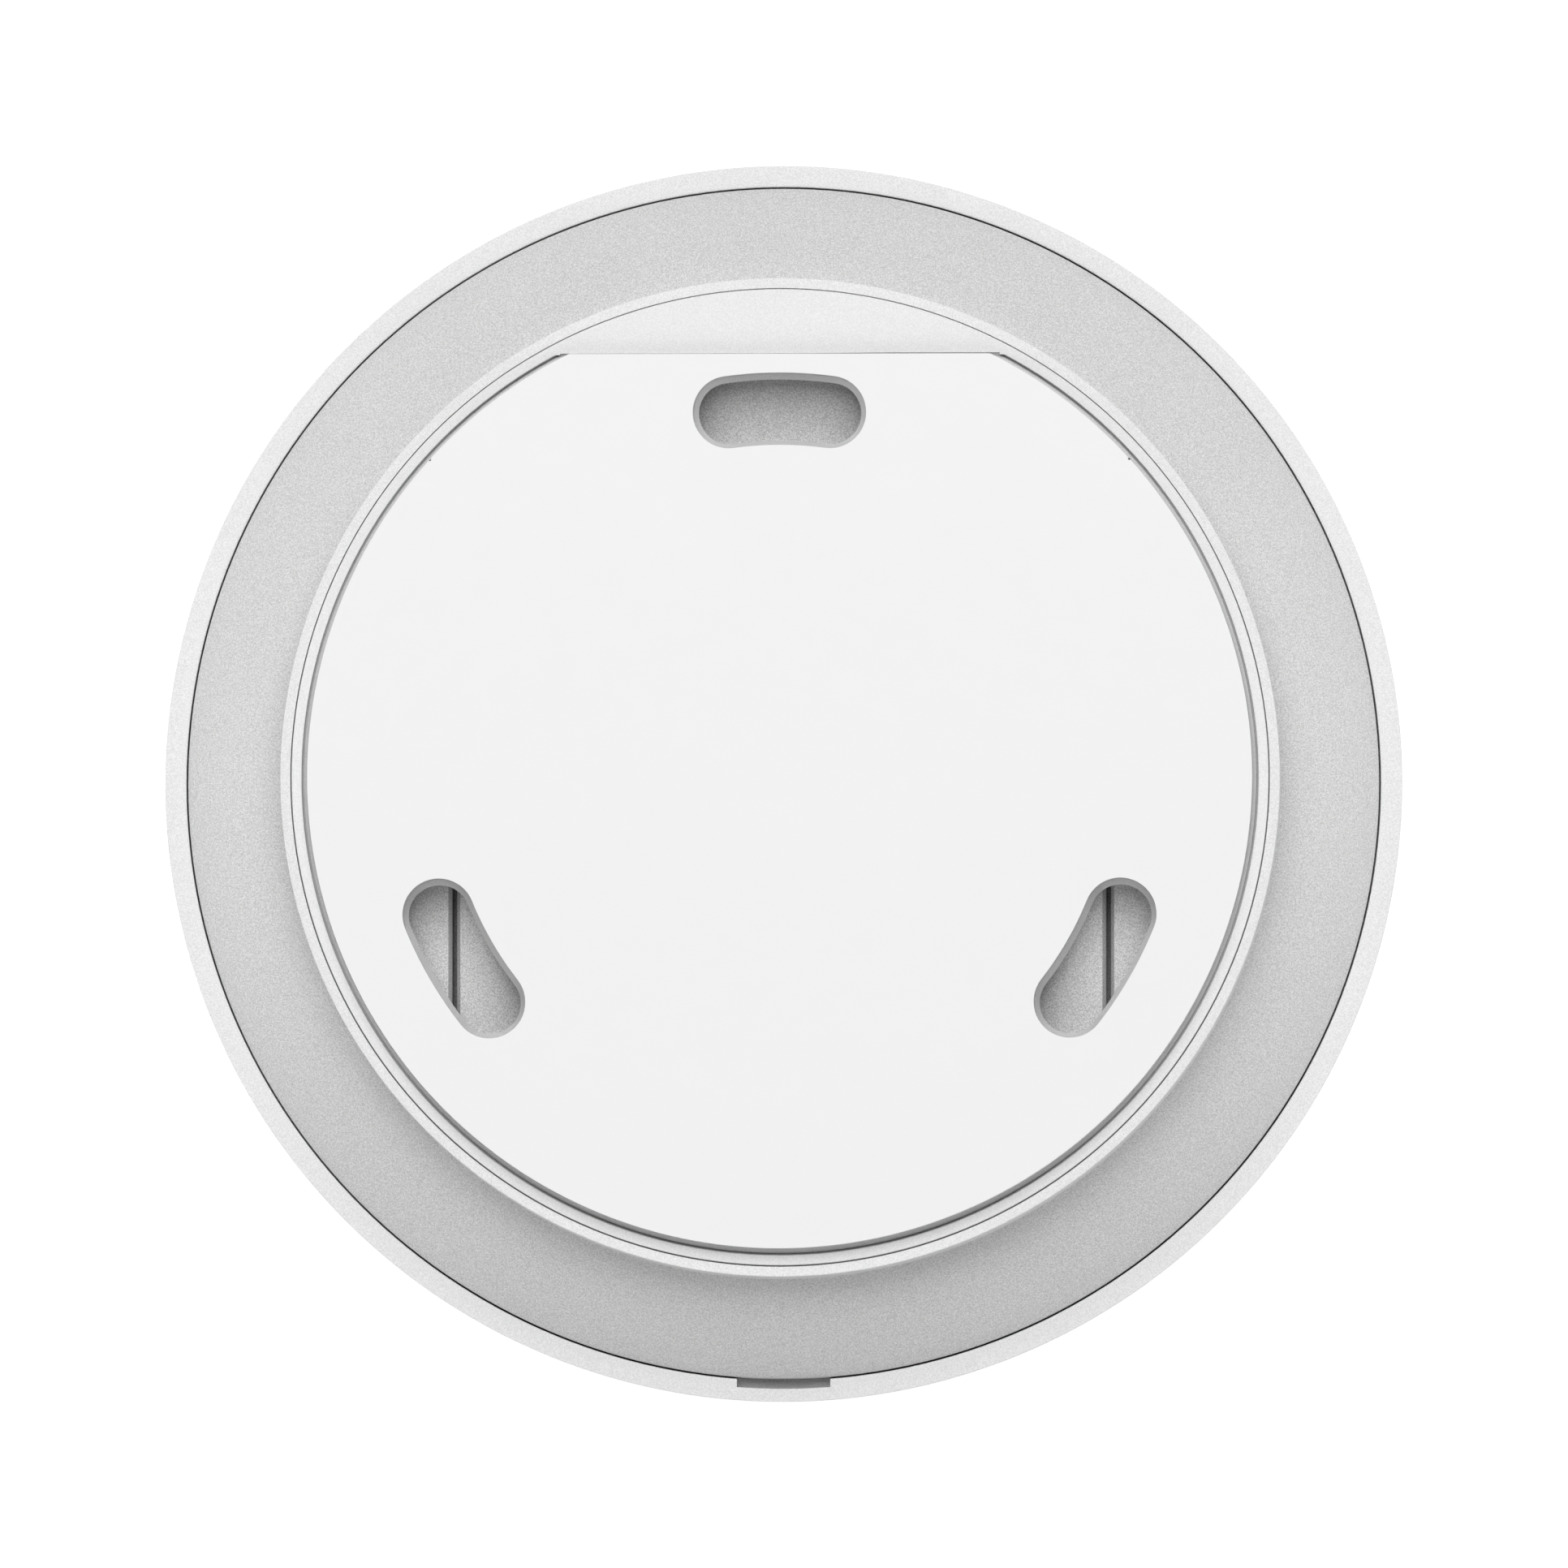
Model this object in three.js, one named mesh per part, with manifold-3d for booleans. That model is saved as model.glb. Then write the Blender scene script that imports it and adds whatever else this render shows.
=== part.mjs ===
// A ceiling smoke detector: a round body that twists on to a slotted mounting plate.
//
// Millimetres, +Z up. The origin is the middle of the mounting plate's ceiling face, so the detector hangs
// below it: the mounting plate is on top, the front face with its test button points down.
// The detector's own pieces are one group, the mounting plate another, and the battery door and the test
// button one each, because those three move.

import * as THREE from "three";
import { mergeVertices } from "three/addons/utils/BufferGeometryUtils.js";
import Module from "manifold-3d";

const wasm = await Module();
wasm.setup();

const radians = THREE.MathUtils.degToRad;
const sine = (degrees) => Math.sin(radians(degrees));
const cosine = (degrees) => Math.cos(radians(degrees));
const polar = (r, degrees) => [r * cosine(degrees), r * sine(degrees)];

// ---------------------------------------------------------------- driving dimensions

const GAP = 0.3; // clearance between separate pieces
const SIDES = 60; // facets of the large round pieces
const FACET = 360 / SIDES; // degrees

// Radii, outermost first
const BODY_R = 60; // the front cover's back edge, the widest place
const RIM_INNER_R = 57.93; // inside of the front cover's back edge
const BACK_R = RIM_INNER_R - GAP; // outside of the back cover
const BASE_RING_R = 48.35; // outside of the ring that stands on the back cover
const POCKET_R = 47.45; // inside of that ring
const FLANGE_R = POCKET_R - GAP; // mounting plate's flange
const LAND_R = 45.76; // edge of the raised land that meets the ceiling
const LAND_FOOT_R = 46.2; // the land's drafted side at its foot

// Heights below the ceiling
const FLANGE_Z = -1.6; // faces of the flange and of the base ring
const PLATE_BACK_Z = -2.6;
const FLOOR_Z = -6.2; // pocket floor behind the mounting plate
const FLOOR_T = 1.6;
const DOME_TOP_Z = -6.9; // where the back cover's curved shoulder meets the base ring
const DOME_EDGE_Z = -13.1;
const DOME_SLOPES = [18, 47]; // degrees, at the base ring and at the edge
const RIM_Z = -13.4; // back edge of the front cover
const SKIRT_Z = -16.6; // foot of the back cover's skirt
const SIDE_END_Z = -28; // where the side wall turns into the front
const FRONT_EDGE_Z = -38.2;
const FRONT_Z = -38.6; // front face, at the light ring
const WALL = 1.8;

// Mounting plate
const LAND_CHORD_Y = 40.9; // the land stops at this chord
const SLOT_PITCH_R = 35.57;
const SLOT_LENGTH = 16.8;
const SLOT_WIDTH = 6.98;
const SLOT_DRAFT = 0.49; // how much narrower the slot is at the plate's back, each side
const GROOVE_Z = -2.0;
const GROOVE_OUTER_R = 46.42;
const HOOK_ANGLES = [30, 150, 270];
const HOOK_HALF = 7; // degrees
const LEDGE_HALF = 8.5; // degrees
const STOP_WIDTH = 2; // degrees
const HOOK_TIP_R = 46.9;
const HOOK_STEM_R = [44.2, 45.5];
const LEDGE_Z = [PLATE_BACK_Z - GAP - 1.1, PLATE_BACK_Z - GAP];
const HOOK_Z = [-5.5, LEDGE_Z[0] - GAP];

// Battery bay and door
const DOOR_HALF_X = 31.55;
const DOOR_HALF_Y = 26;
const DOOR_T = 1.4;
const DOOR_TRAVEL = 6;
const BAY_HALF_X = 29.8;
const BAY_HALF_Y = 23.3;
const BAY_FLOOR_Z = -22.6;
const CELL_R = 7.1;
const CELL_LENGTH = 50.5;
const CELL_PITCH = 15.5;
const CELL_Z = BAY_FLOOR_Z + GAP + CELL_R;
const CELL_TIP_X = 28.6;

// Board, and what is on it
const BOARD_TOP_Z = -24.3;
const BOARD_T = 1.6;
const BOARD_R = 52;
const PARTS_Z = BOARD_TOP_Z - BOARD_T - GAP; // where the pieces under the board begin
const CHAMBER_Y = 35;
const CHAMBER_R = 13.8;
const SOUNDER_R = 13.6;
const SOUNDER_XY = -24.4;

// Button and light ring
const BUTTON_R = 16.7;
const BUTTON_SIDES = 40;
const LIGHT_RING_R = [17, 18.6];
const BUTTON_OPENING_R = LIGHT_RING_R[1] + GAP;

// Screws
const COVER_SCREW_R = 40.5;
const COVER_SCREW_ANGLES = [20, 160, 270];
const POST_R = 3.5;
const BOARD_SCREWS = [
  [34.8, 22],
  [-34.8, 22],
  [14, -30.2],
];

// Side vents
const VENT_WIDTH = 2.4;
const VENT_Z = [-26.7, -18.2];

// ---------------------------------------------------------------- materials

const shade = (color, roughness, metalness = 0) =>
  new THREE.MeshStandardMaterial({ color, roughness, metalness });
const WHITE = shade(0xeeeeec, 0.5);
const PLATE_WHITE = shade(0xf3f3f2, 0.55);
const BLACK = shade(0x17181a, 0.6);
const DARK = shade(0x2a2c30, 0.45);
const BOARD_GREEN = shade(0x1f5b3a, 0.4);
const FROST = shade(0xdfe6e8, 0.35);
const STEEL = shade(0xb9bcc0, 0.3, 1);
const BRASS = shade(0xc9a24b, 0.35, 1);
const CELL = shade(0x3d4650, 0.35);
const MESH_STEEL = shade(0x8d9194, 0.4, 1);

// ---------------------------------------------------------------- geometry helpers

// A closed geometry as a manifold-3d solid.
function solid(geometry) {
  const loose = geometry.index ? geometry.toNonIndexed() : geometry;
  const bare = new THREE.BufferGeometry().setAttribute("position", loose.getAttribute("position"));
  const merged = mergeVertices(bare, 1e-4);
  const vertProperties = merged.attributes.position.array;
  const triVerts = new Uint32Array(merged.index.array);
  return new wasm.Manifold(new wasm.Mesh({ numProp: 3, vertProperties, triVerts }));
}

// A manifold-3d solid as a geometry.
function geometryOf(body) {
  const { vertProperties, triVerts, numProp } = body.getMesh();
  const points = [];
  for (let i = 0; i < vertProperties.length; i += numProp) {
    points.push(vertProperties[i], vertProperties[i + 1], vertProperties[i + 2]);
  }
  const made = new THREE.BufferGeometry();
  made.setAttribute("position", new THREE.Float32BufferAttribute(points, 3));
  made.setIndex(new THREE.BufferAttribute(triVerts, 1));
  made.computeVertexNormals();
  return made;
}

const joined = (first, ...others) => others.reduce((sum, one) => sum.add(one), first);
const without = (first, ...others) => others.reduce((rest, one) => rest.subtract(one), first);

// Twice the signed area of a profile of [r, z] points.
function turning(profile) {
  return profile.reduce((sum, [r, z], i) => {
    const [nextR, nextZ] = profile[(i + 1) % profile.length];
    return sum + r * nextZ - nextR * z;
  }, 0);
}

// A profile of [r, z] points turned about Z. It closes on itself, or starts and ends on the axis.
function turned(profile, sides = SIDES) {
  const ordered = turning(profile) > 0 ? profile : [...profile].reverse();
  const startsOnAxis = ordered[0][0] === 0 && ordered.at(-1)[0] === 0;
  const loop = startsOnAxis ? ordered : [...ordered, ordered[0]];
  const points = loop.map(([r, z]) => new THREE.Vector2(r, z));
  return new THREE.LatheGeometry(points, sides).rotateX(Math.PI / 2);
}

const tube = (inner, outer, z0, z1, sides = SIDES) =>
  turned([[inner, z0], [outer, z0], [outer, z1], [inner, z1]], sides);

const drum = (radius, z0, z1, sides = 20) =>
  turned([[0, z0], [radius, z0], [radius, z1], [0, z1]], sides);

const block = (x0, x1, y0, y1, z0, z1) =>
  new THREE.BoxGeometry(x1 - x0, y1 - y0, z1 - z0).translate(
    (x0 + x1) / 2,
    (y0 + y1) / 2,
    (z0 + z1) / 2,
  );

// A flat outline of [x, y] points as a prism between two heights.
function prism(outline, z0, z1) {
  const shape = new THREE.Shape(outline.map(([x, y]) => new THREE.Vector2(x, y)));
  const options = { depth: z1 - z0, bevelEnabled: false };
  return new THREE.ExtrudeGeometry(shape, options).translate(0, 0, z0);
}

// Points along an arc about the origin, or about a centre.
function arc(radius, from, to, steps, centre = [0, 0]) {
  return Array.from({ length: steps + 1 }, (_, i) => {
    const [x, y] = polar(radius, from + ((to - from) * i) / steps);
    return [centre[0] + x, centre[1] + y];
  });
}

// Part of a ring, between two angles in degrees.
function sector(inner, outer, z0, z1, from, to, steps = 3) {
  return prism([...arc(outer, from, to, steps), ...arc(inner, to, from, steps)], z0, z1);
}

// A curved slot's outline: a band along the pitch circle about +Y, with round ends.
function slotOutline(halfWidth, capSteps = 8, sideSteps = 4) {
  const half = THREE.MathUtils.radToDeg((SLOT_LENGTH - SLOT_WIDTH) / 2 / SLOT_PITCH_R);
  const [from, to] = [90 - half, 90 + half];
  return [
    ...arc(SLOT_PITCH_R + halfWidth, from, to, sideSteps),
    ...arc(halfWidth, to, to + 180, capSteps, polar(SLOT_PITCH_R, to)).slice(1),
    ...arc(SLOT_PITCH_R - halfWidth, to, from, sideSteps).slice(1),
    ...arc(halfWidth, from + 180, from + 360, capSteps, polar(SLOT_PITCH_R, from)).slice(1, -1),
  ];
}

// A closed solid between two outlines of the same number of points.
function loft(lower, z0, upper, z1) {
  const flat = (outline) => outline.map(([x, y]) => new THREE.Vector2(x, y));
  const cap = THREE.ShapeUtils.triangulateShape(flat(lower), []);
  const count = lower.length;
  const corners = [...lower.map(([x, y]) => [x, y, z0]), ...upper.map(([x, y]) => [x, y, z1])];
  const faces = cap.flatMap(([a, b, c]) => [a, c, b, a + count, b + count, c + count]);
  for (let i = 0; i < count; i += 1) {
    const next = (i + 1) % count;
    faces.push(i, next, next + count, i, next + count, i + count);
  }
  const made = new THREE.BufferGeometry();
  made.setAttribute("position", new THREE.Float32BufferAttribute(corners.flat(), 3));
  return made.setIndex(faces);
}

// A wire of a given thickness wound as a spring about Z, its radius changing evenly from end to end.
function coil(r0, r1, z0, z1, turns, thickness) {
  const stepsPerTurn = 12;
  const steps = turns * stepsPerTurn;
  const line = Array.from({ length: steps + 1 }, (_, i) => {
    const share = i / steps;
    const [x, y] = polar(r0 + (r1 - r0) * share, 360 * turns * share);
    return new THREE.Vector3(x, y, z0 + (z1 - z0) * share);
  });
  const section = new THREE.Shape(
    arc(thickness / 2, 0, 300, 5).map(([x, y]) => new THREE.Vector2(x, y)),
  );
  return new THREE.ExtrudeGeometry(section, {
    steps,
    extrudePath: new THREE.CatmullRomCurve3(line),
    bevelEnabled: false,
  });
}

// ---------------------------------------------------------------- mounting plate

function mountingPlate() {
  const beyond = BODY_R;
  const pastChord = solid(block(-beyond, beyond, LAND_CHORD_Y, beyond, -beyond, beyond));
  const flange = solid(drum(FLANGE_R, PLATE_BACK_Z, FLANGE_Z, SIDES));
  const groove = solid(tube(LAND_FOOT_R - 0.1, GROOVE_OUTER_R, GROOVE_Z, 0)).subtract(pastChord);
  const land = solid(
    turned([[0, GROOVE_Z], [LAND_FOOT_R, GROOVE_Z], [LAND_R, 0], [0, 0]]),
  ).subtract(pastChord);
  const over = 0.2; // the cutters pass both faces by this much
  const cutters = [0, 120, 240].map((turn) => {
    const taper = SLOT_DRAFT * (over / -PLATE_BACK_Z);
    const narrow = slotOutline(SLOT_WIDTH / 2 - SLOT_DRAFT - taper);
    const wide = slotOutline(SLOT_WIDTH / 2 + taper);
    return solid(loft(narrow, PLATE_BACK_Z - over, wide, over).rotateZ(radians(turn)));
  });
  const hooks = HOOK_ANGLES.flatMap((angle) => [
    solid(sector(...HOOK_STEM_R, HOOK_Z[0], PLATE_BACK_Z + 0.2, angle - HOOK_HALF, angle + HOOK_HALF)),
    solid(sector(HOOK_STEM_R[1] - 0.3, HOOK_TIP_R, ...HOOK_Z, angle - HOOK_HALF, angle + HOOK_HALF)),
  ]);
  return geometryOf(joined(without(joined(flange.subtract(groove), land), ...cutters), ...hooks));
}

// ---------------------------------------------------------------- covers

// The back cover's curved shoulder between two points, as an arc whose slope grows evenly.
function shoulder([r0, z0], [r1, z1], steps) {
  const [first, last] = DOME_SLOPES;
  const slopes = Array.from({ length: steps + 1 }, (_, i) => first + ((last - first) * i) / steps);
  const along = (slope) => (sine(slope) - sine(first)) / (sine(last) - sine(first));
  const down = (slope) => (cosine(first) - cosine(slope)) / (cosine(first) - cosine(last));
  return slopes.map((slope) => [r0 + (r1 - r0) * along(slope), z0 + (z1 - z0) * down(slope)]);
}

function backCover() {
  const underFloorZ = FLOOR_Z - FLOOR_T;
  const innerTop = [BASE_RING_R - 0.6, DOME_TOP_Z - 1.9];
  const innerEdge = [BACK_R - 1.5, DOME_EDGE_Z - 1.2];
  const shell = solid(
    turned([
      [0, FLOOR_Z],
      [POCKET_R, FLOOR_Z],
      [POCKET_R, FLANGE_Z],
      [BASE_RING_R, FLANGE_Z],
      ...shoulder([BASE_RING_R, DOME_TOP_Z], [BACK_R, DOME_EDGE_Z], 5),
      [BACK_R, SKIRT_Z],
      [BACK_R - 1.5, SKIRT_Z],
      ...shoulder(innerTop, innerEdge, 4).reverse(),
      [BASE_RING_R - 1.6, underFloorZ],
      [0, underFloorZ],
    ]),
  );
  // The bayonet ledges hang on the plate's hooks, and each ends in a stop. The detector locks by turning
  // clockwise seen from below, and it comes off the other way.
  const ledgeR = [HOOK_STEM_R[1] + 0.4, POCKET_R + 0.3];
  const ledges = HOOK_ANGLES.flatMap((angle) => {
    const stopTo = angle - HOOK_HALF - 0.5;
    const stopFrom = stopTo - STOP_WIDTH;
    return [
      solid(sector(...ledgeR, ...LEDGE_Z, stopFrom, angle + LEDGE_HALF)),
      solid(sector(...ledgeR, FLOOR_Z - 0.3, LEDGE_Z[1], stopFrom, stopTo, 1)),
    ];
  });
  // A frame round the door opening, and below it the bay for three cells.
  const seatZ = FLOOR_Z - DOOR_T - GAP;
  const frame = solid(block(-33.2, 33.2, -34.6, 28.8, seatZ - 1.5, FLOOR_Z - 0.5));
  const bay = solid(
    block(-BAY_HALF_X - 1.6, BAY_HALF_X + 1.6, -BAY_HALF_Y - 1.6, BAY_HALF_Y + 1.6, BAY_FLOOR_Z - 1.4, seatZ - 1),
  );
  const openingX = DOOR_HALF_X + GAP;
  const openingY = [-DOOR_HALF_Y - DOOR_TRAVEL - 1, DOOR_HALF_Y + GAP];
  const doorOpening = solid(block(-openingX, openingX, ...openingY, seatZ, 0));
  const tabPockets = [-15, 15].map((x) =>
    solid(block(x - 3.3, x + 3.3, DOOR_HALF_Y - 1, DOOR_HALF_Y + 1.8, seatZ, seatZ + 1)),
  );
  const bayHollow = solid(block(-BAY_HALF_X, BAY_HALF_X, -BAY_HALF_Y, BAY_HALF_Y, BAY_FLOOR_Z, 0));
  const bosses = BOARD_SCREWS.map(([x, y]) =>
    solid(drum(3, BOARD_TOP_Z + GAP, underFloorZ + 0.4, 12).translate(x, y, 0)),
  );
  const pilots = BOARD_SCREWS.map(([x, y]) =>
    solid(drum(1.2, BOARD_TOP_Z - 1, BOARD_TOP_Z + 9, 8).translate(x, y, 0)),
  );
  const screwHoles = COVER_SCREW_ANGLES.map((angle) =>
    solid(drum(1.7, underFloorZ - 1, FLOOR_Z + 1, 12).translate(...polar(COVER_SCREW_R, angle), 0)),
  );
  const whole = joined(shell, ...ledges, frame, bay, ...bosses);
  return geometryOf(without(whole, doorOpening, ...tabPockets, bayHollow, ...pilots, ...screwHoles));
}

// A quarter of an ellipse, from the side wall round to the front.
function corner(centreR, radiusR, radiusZ, steps) {
  return arc(1, 0, 90, steps).map(([c, s]) => [centreR + radiusR * c, SIDE_END_Z - radiusZ * s]);
}

function frontCover() {
  const innerFrontZ = FRONT_Z + WALL;
  const shell = solid(
    turned([
      [RIM_INNER_R, RIM_Z],
      [BODY_R - 0.3, RIM_Z],
      [BODY_R, RIM_Z - 0.3],
      ...corner(50.5, 8.4, SIDE_END_Z - FRONT_EDGE_Z, 6),
      [BUTTON_OPENING_R, FRONT_Z],
      [BUTTON_OPENING_R, innerFrontZ],
      ...corner(50.3, 6.8, 8.4, 5).reverse(),
      [RIM_INNER_R, -17],
    ]),
  );
  const posts = COVER_SCREW_ANGLES.map((angle) =>
    solid(drum(POST_R, innerFrontZ - 0.6, FLOOR_Z - FLOOR_T - GAP, 14).translate(...polar(COVER_SCREW_R, angle), 0)),
  );
  const pilots = COVER_SCREW_ANGLES.map((angle) =>
    solid(drum(1.45, -24, 0, 8).translate(...polar(COVER_SCREW_R, angle), 0)),
  );
  const vents = Array.from({ length: SIDES }, (_, i) =>
    solid(
      block(BODY_R - 5, BODY_R + 2, -VENT_WIDTH / 2, VENT_WIDTH / 2, ...VENT_Z).rotateZ(
        radians(FACET * (i + 0.5)),
      ),
    ),
  );
  // Five parallel slots in front of the sounder.
  const soundSlots = [8, 12, 14, 12, 8].map((length, i) =>
    solid(
      block(-length / 2, length / 2, -0.8, 0.8, FRONT_Z - 2, FRONT_Z + 3)
        .translate(0, 3.2 * (i - 2), 0)
        .rotateZ(radians(-45))
        .translate(SOUNDER_XY, SOUNDER_XY, 0),
    ),
  );
  const pryNotch = solid(block(-4.53, 4.53, -58.7, -56, RIM_Z - 2, RIM_Z + 1));
  return geometryOf(without(joined(shell, ...posts), ...pilots, ...vents, ...soundSlots, pryNotch));
}

// ---------------------------------------------------------------- battery door and cells

function batteryDoor() {
  const backZ = FLOOR_Z - DOOR_T;
  const panel = solid(block(-DOOR_HALF_X, DOOR_HALF_X, -DOOR_HALF_Y, DOOR_HALF_Y, backZ, FLOOR_Z));
  const tabs = [-15, 15].map((x) =>
    solid(block(x - 3, x + 3, DOOR_HALF_Y - 1, DOOR_HALF_Y + 1.4, backZ, backZ + 0.6)),
  );
  const gripRibs = [0, 1, 2, 3].map((i) =>
    solid(block(-9, 9, -24 + 2.4 * i, -23 + 2.4 * i, FLOOR_Z - 0.2, FLOOR_Z + 0.5)),
  );
  return geometryOf(joined(panel, ...tabs, ...gripRibs));
}

// A dry cell along +X, its positive tip at the origin.
function cell() {
  return turned(
    [
      [0, 0],
      [2.6, 0],
      [2.6, -1.4],
      [6.6, -1.4],
      [CELL_R, -2],
      [CELL_R, 0.5 - CELL_LENGTH],
      [6.6, -CELL_LENGTH],
      [0, -CELL_LENGTH],
    ],
    16,
  ).rotateY(Math.PI / 2);
}

// The sprung contact: a plate at the bay's end wall and a tapering coil towards +X.
function springContact() {
  const plate = solid(block(-0.5, 0, -5, 5, -5, 5));
  const wire = solid(coil(4.4, 2.6, -0.25, 6, 3, 0.9).rotateY(Math.PI / 2));
  return geometryOf(plate.add(wire));
}

// The flat contact: a plate with a raised pad towards -X for the cell's tip.
function flatContact() {
  const plate = solid(block(-0.15, 0.35, -5, 5, -5, 5));
  const pad = solid(drum(2, -0.35, 0, 12).rotateY(Math.PI / 2));
  return geometryOf(plate.add(pad));
}

// ---------------------------------------------------------------- board and its components

function mainBoard() {
  const bottomZ = BOARD_TOP_Z - BOARD_T;
  const holes = [
    ...COVER_SCREW_ANGLES.map((angle) => [...polar(COVER_SCREW_R, angle), POST_R + 0.5]),
    ...BOARD_SCREWS.map(([x, y]) => [x, y, 1.5]),
  ];
  const cutters = holes.map(([x, y, r]) => solid(drum(r, bottomZ - 1, BOARD_TOP_Z + 1, 14).translate(x, y, 0)));
  return geometryOf(without(solid(drum(BOARD_R, bottomZ, BOARD_TOP_Z, 48)), ...cutters));
}

// A pan-head screw along -Z, its head's underside at the origin.
function screw(length, shaftR, headR, headHeight) {
  const body = solid(
    turned(
      [
        [0, -length],
        [shaftR, 1.5 - length],
        [shaftR, 0],
        [headR, 0],
        [headR, headHeight * 0.55],
        [headR * 0.6, headHeight],
        [0, headHeight],
      ],
      12,
    ),
  );
  const arm = headR * 0.55;
  const recess = [
    solid(block(-arm, arm, -0.35, 0.35, headHeight * 0.35, headHeight + 1)),
    solid(block(-0.35, 0.35, -arm, arm, headHeight * 0.35, headHeight + 1)),
  ];
  return geometryOf(without(body, ...recess));
}

// The chamber's pieces are built about its own axis.
const OPTICS_R = 6.2;
const EMITTER_ANGLE = 215;
const RECEIVER_ANGLE = 325;
const OPTICS_Z = -32;
const CHAMBER_BASE_T = 1.8;

function chamberBase() {
  const floorZ = PARTS_Z - CHAMBER_BASE_T;
  const holders = [EMITTER_ANGLE, RECEIVER_ANGLE].map((angle) =>
    solid(
      block(-2.6, 2.6, -2.2, 2.2, OPTICS_Z + 2.1, floorZ + 0.3)
        .rotateZ(radians(angle))
        .translate(...polar(OPTICS_R, angle), 0),
    ),
  );
  return geometryOf(joined(solid(drum(CHAMBER_R, floorZ, PARTS_Z, 36)), ...holders));
}

function chamberCap() {
  const vaneTopZ = PARTS_Z - CHAMBER_BASE_T - GAP;
  const frontZ = -36;
  const vanes = Array.from({ length: 16 }, (_, i) =>
    solid(
      block(-2.1, 2.1, -0.35, 0.35, frontZ + 0.8, vaneTopZ)
        .rotateZ(radians(40))
        .translate(11.5, 0, 0)
        .rotateZ(radians(22.5 * i)),
    ),
  );
  return geometryOf(joined(solid(drum(CHAMBER_R, frontZ, frontZ + 1.1, 36)), ...vanes));
}

// An infrared emitter: a 3 mm round-nosed case along +X.
function emitter() {
  return turned(
    [[0, -2.6], [1.9, -2.6], [1.9, -1.7], [1.5, -1.7], [1.5, 1.3], [1, 2.3], [0, 2.6]],
    12,
  ).rotateY(Math.PI / 2);
}

function sounderHousing() {
  const backZ = PARTS_Z;
  const frontZ = -35.2;
  return turned(
    [
      [3, frontZ],
      [SOUNDER_R, frontZ],
      [SOUNDER_R, backZ],
      [SOUNDER_R - 1.1, backZ],
      [SOUNDER_R - 1.1, frontZ + 1.1],
      [3, frontZ + 1.1],
    ],
    32,
  );
}

// The piezo element: a ceramic-coated disc with a stepped middle.
function piezoDisc() {
  return turned([[0, -29.6], [8, -29.6], [8, -29.3], [12, -29.3], [12, -29], [0, -29]], 28);
}

// ---------------------------------------------------------------- button, switch and light ring

const SWITCH_BODY_Z = -29.9;
const PLUNGER_R = 1.7;
const PLUNGER_Z = [-31.1, -30.2];
const SPRING_Z = [-36.4, -26.7]; // wire centres, between the button and the board
const LED_ANGLES = [10, 130, 250];
const LED_Z = [PARTS_Z - 0.7, PARTS_Z];

function testButton() {
  return turned([
    [0, -38.25],
    [8, -38.4],
    [13.6, -38.9],
    [15.9, -39],
    [BUTTON_R, -38.6],
    [BUTTON_R, -35],
    [BUTTON_R + 2.3, -35],
    [BUTTON_R + 2.3, -34],
    [BUTTON_R - 1.5, -34],
    [BUTTON_R - 1.5, -36.85],
    [2, -36.85],
    [2, PLUNGER_Z[0] - GAP],
    [0, PLUNGER_Z[0] - GAP],
  ], BUTTON_SIDES);
}

function lightRing() {
  const [inner, outer] = LIGHT_RING_R;
  const flange = solid(
    turned([
      [inner, -38.5],
      [inner + 0.3, -38.8],
      [outer - 0.3, -38.8],
      [outer, -38.5],
      [outer, -36.5],
      [20, -36.5],
      [20, -35.3],
      [inner, -35.3],
    ], BUTTON_SIDES),
  );
  const legs = LED_ANGLES.map((angle) =>
    solid(block(19.3, 20.6, -1.5, 1.5, -36.3, LED_Z[0] - GAP).rotateZ(radians(angle))),
  );
  return geometryOf(joined(flange, ...legs));
}

function tactSwitch() {
  const body = solid(block(-3, 3, -3, 3, SWITCH_BODY_Z, PARTS_Z));
  return geometryOf(body.subtract(solid(drum(PLUNGER_R + GAP, SWITCH_BODY_Z - 1, SWITCH_BODY_Z + 1.6, 14))));
}

// A bead thermistor on two legs under the board.
function thermistor() {
  const bead = solid(new THREE.SphereGeometry(1.3, 10, 8).translate(0, 0, -33.5));
  const legs = [-0.7, 0.7].map((x) => solid(block(x - 0.25, x + 0.25, -0.25, 0.25, -33.2, PARTS_Z)));
  return geometryOf(joined(bead, ...legs));
}

// ---------------------------------------------------------------- the assembly

const whole = new THREE.Group();
const bracket = new THREE.Group();
const detector = new THREE.Group();
const door = new THREE.Group();
const button = new THREE.Group();
whole.add(bracket, detector, door, button);

function place(group, name, geometry, material, position = [0, 0, 0], turn = 0) {
  const mesh = new THREE.Mesh(geometry, material);
  mesh.name = name;
  mesh.position.set(...position);
  mesh.rotation.z = turn;
  group.add(mesh);
}

place(bracket, "mounting_plate", mountingPlate(), PLATE_WHITE);
place(door, "battery_door", batteryDoor(), WHITE);
place(button, "test_button", testButton(), WHITE);
place(button, "switch_plunger", drum(PLUNGER_R, ...PLUNGER_Z, 14), BLACK);

place(detector, "back_cover", backCover(), WHITE);
place(detector, "front_cover", frontCover(), WHITE);
place(detector, "light_ring", lightRing(), FROST);
place(detector, "main_board", mainBoard(), BOARD_GREEN);
place(detector, "tact_switch", tactSwitch(), DARK);
place(detector, "button_spring", coil(5.6, 5.6, ...SPRING_Z, 5, 0.7), STEEL);

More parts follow.
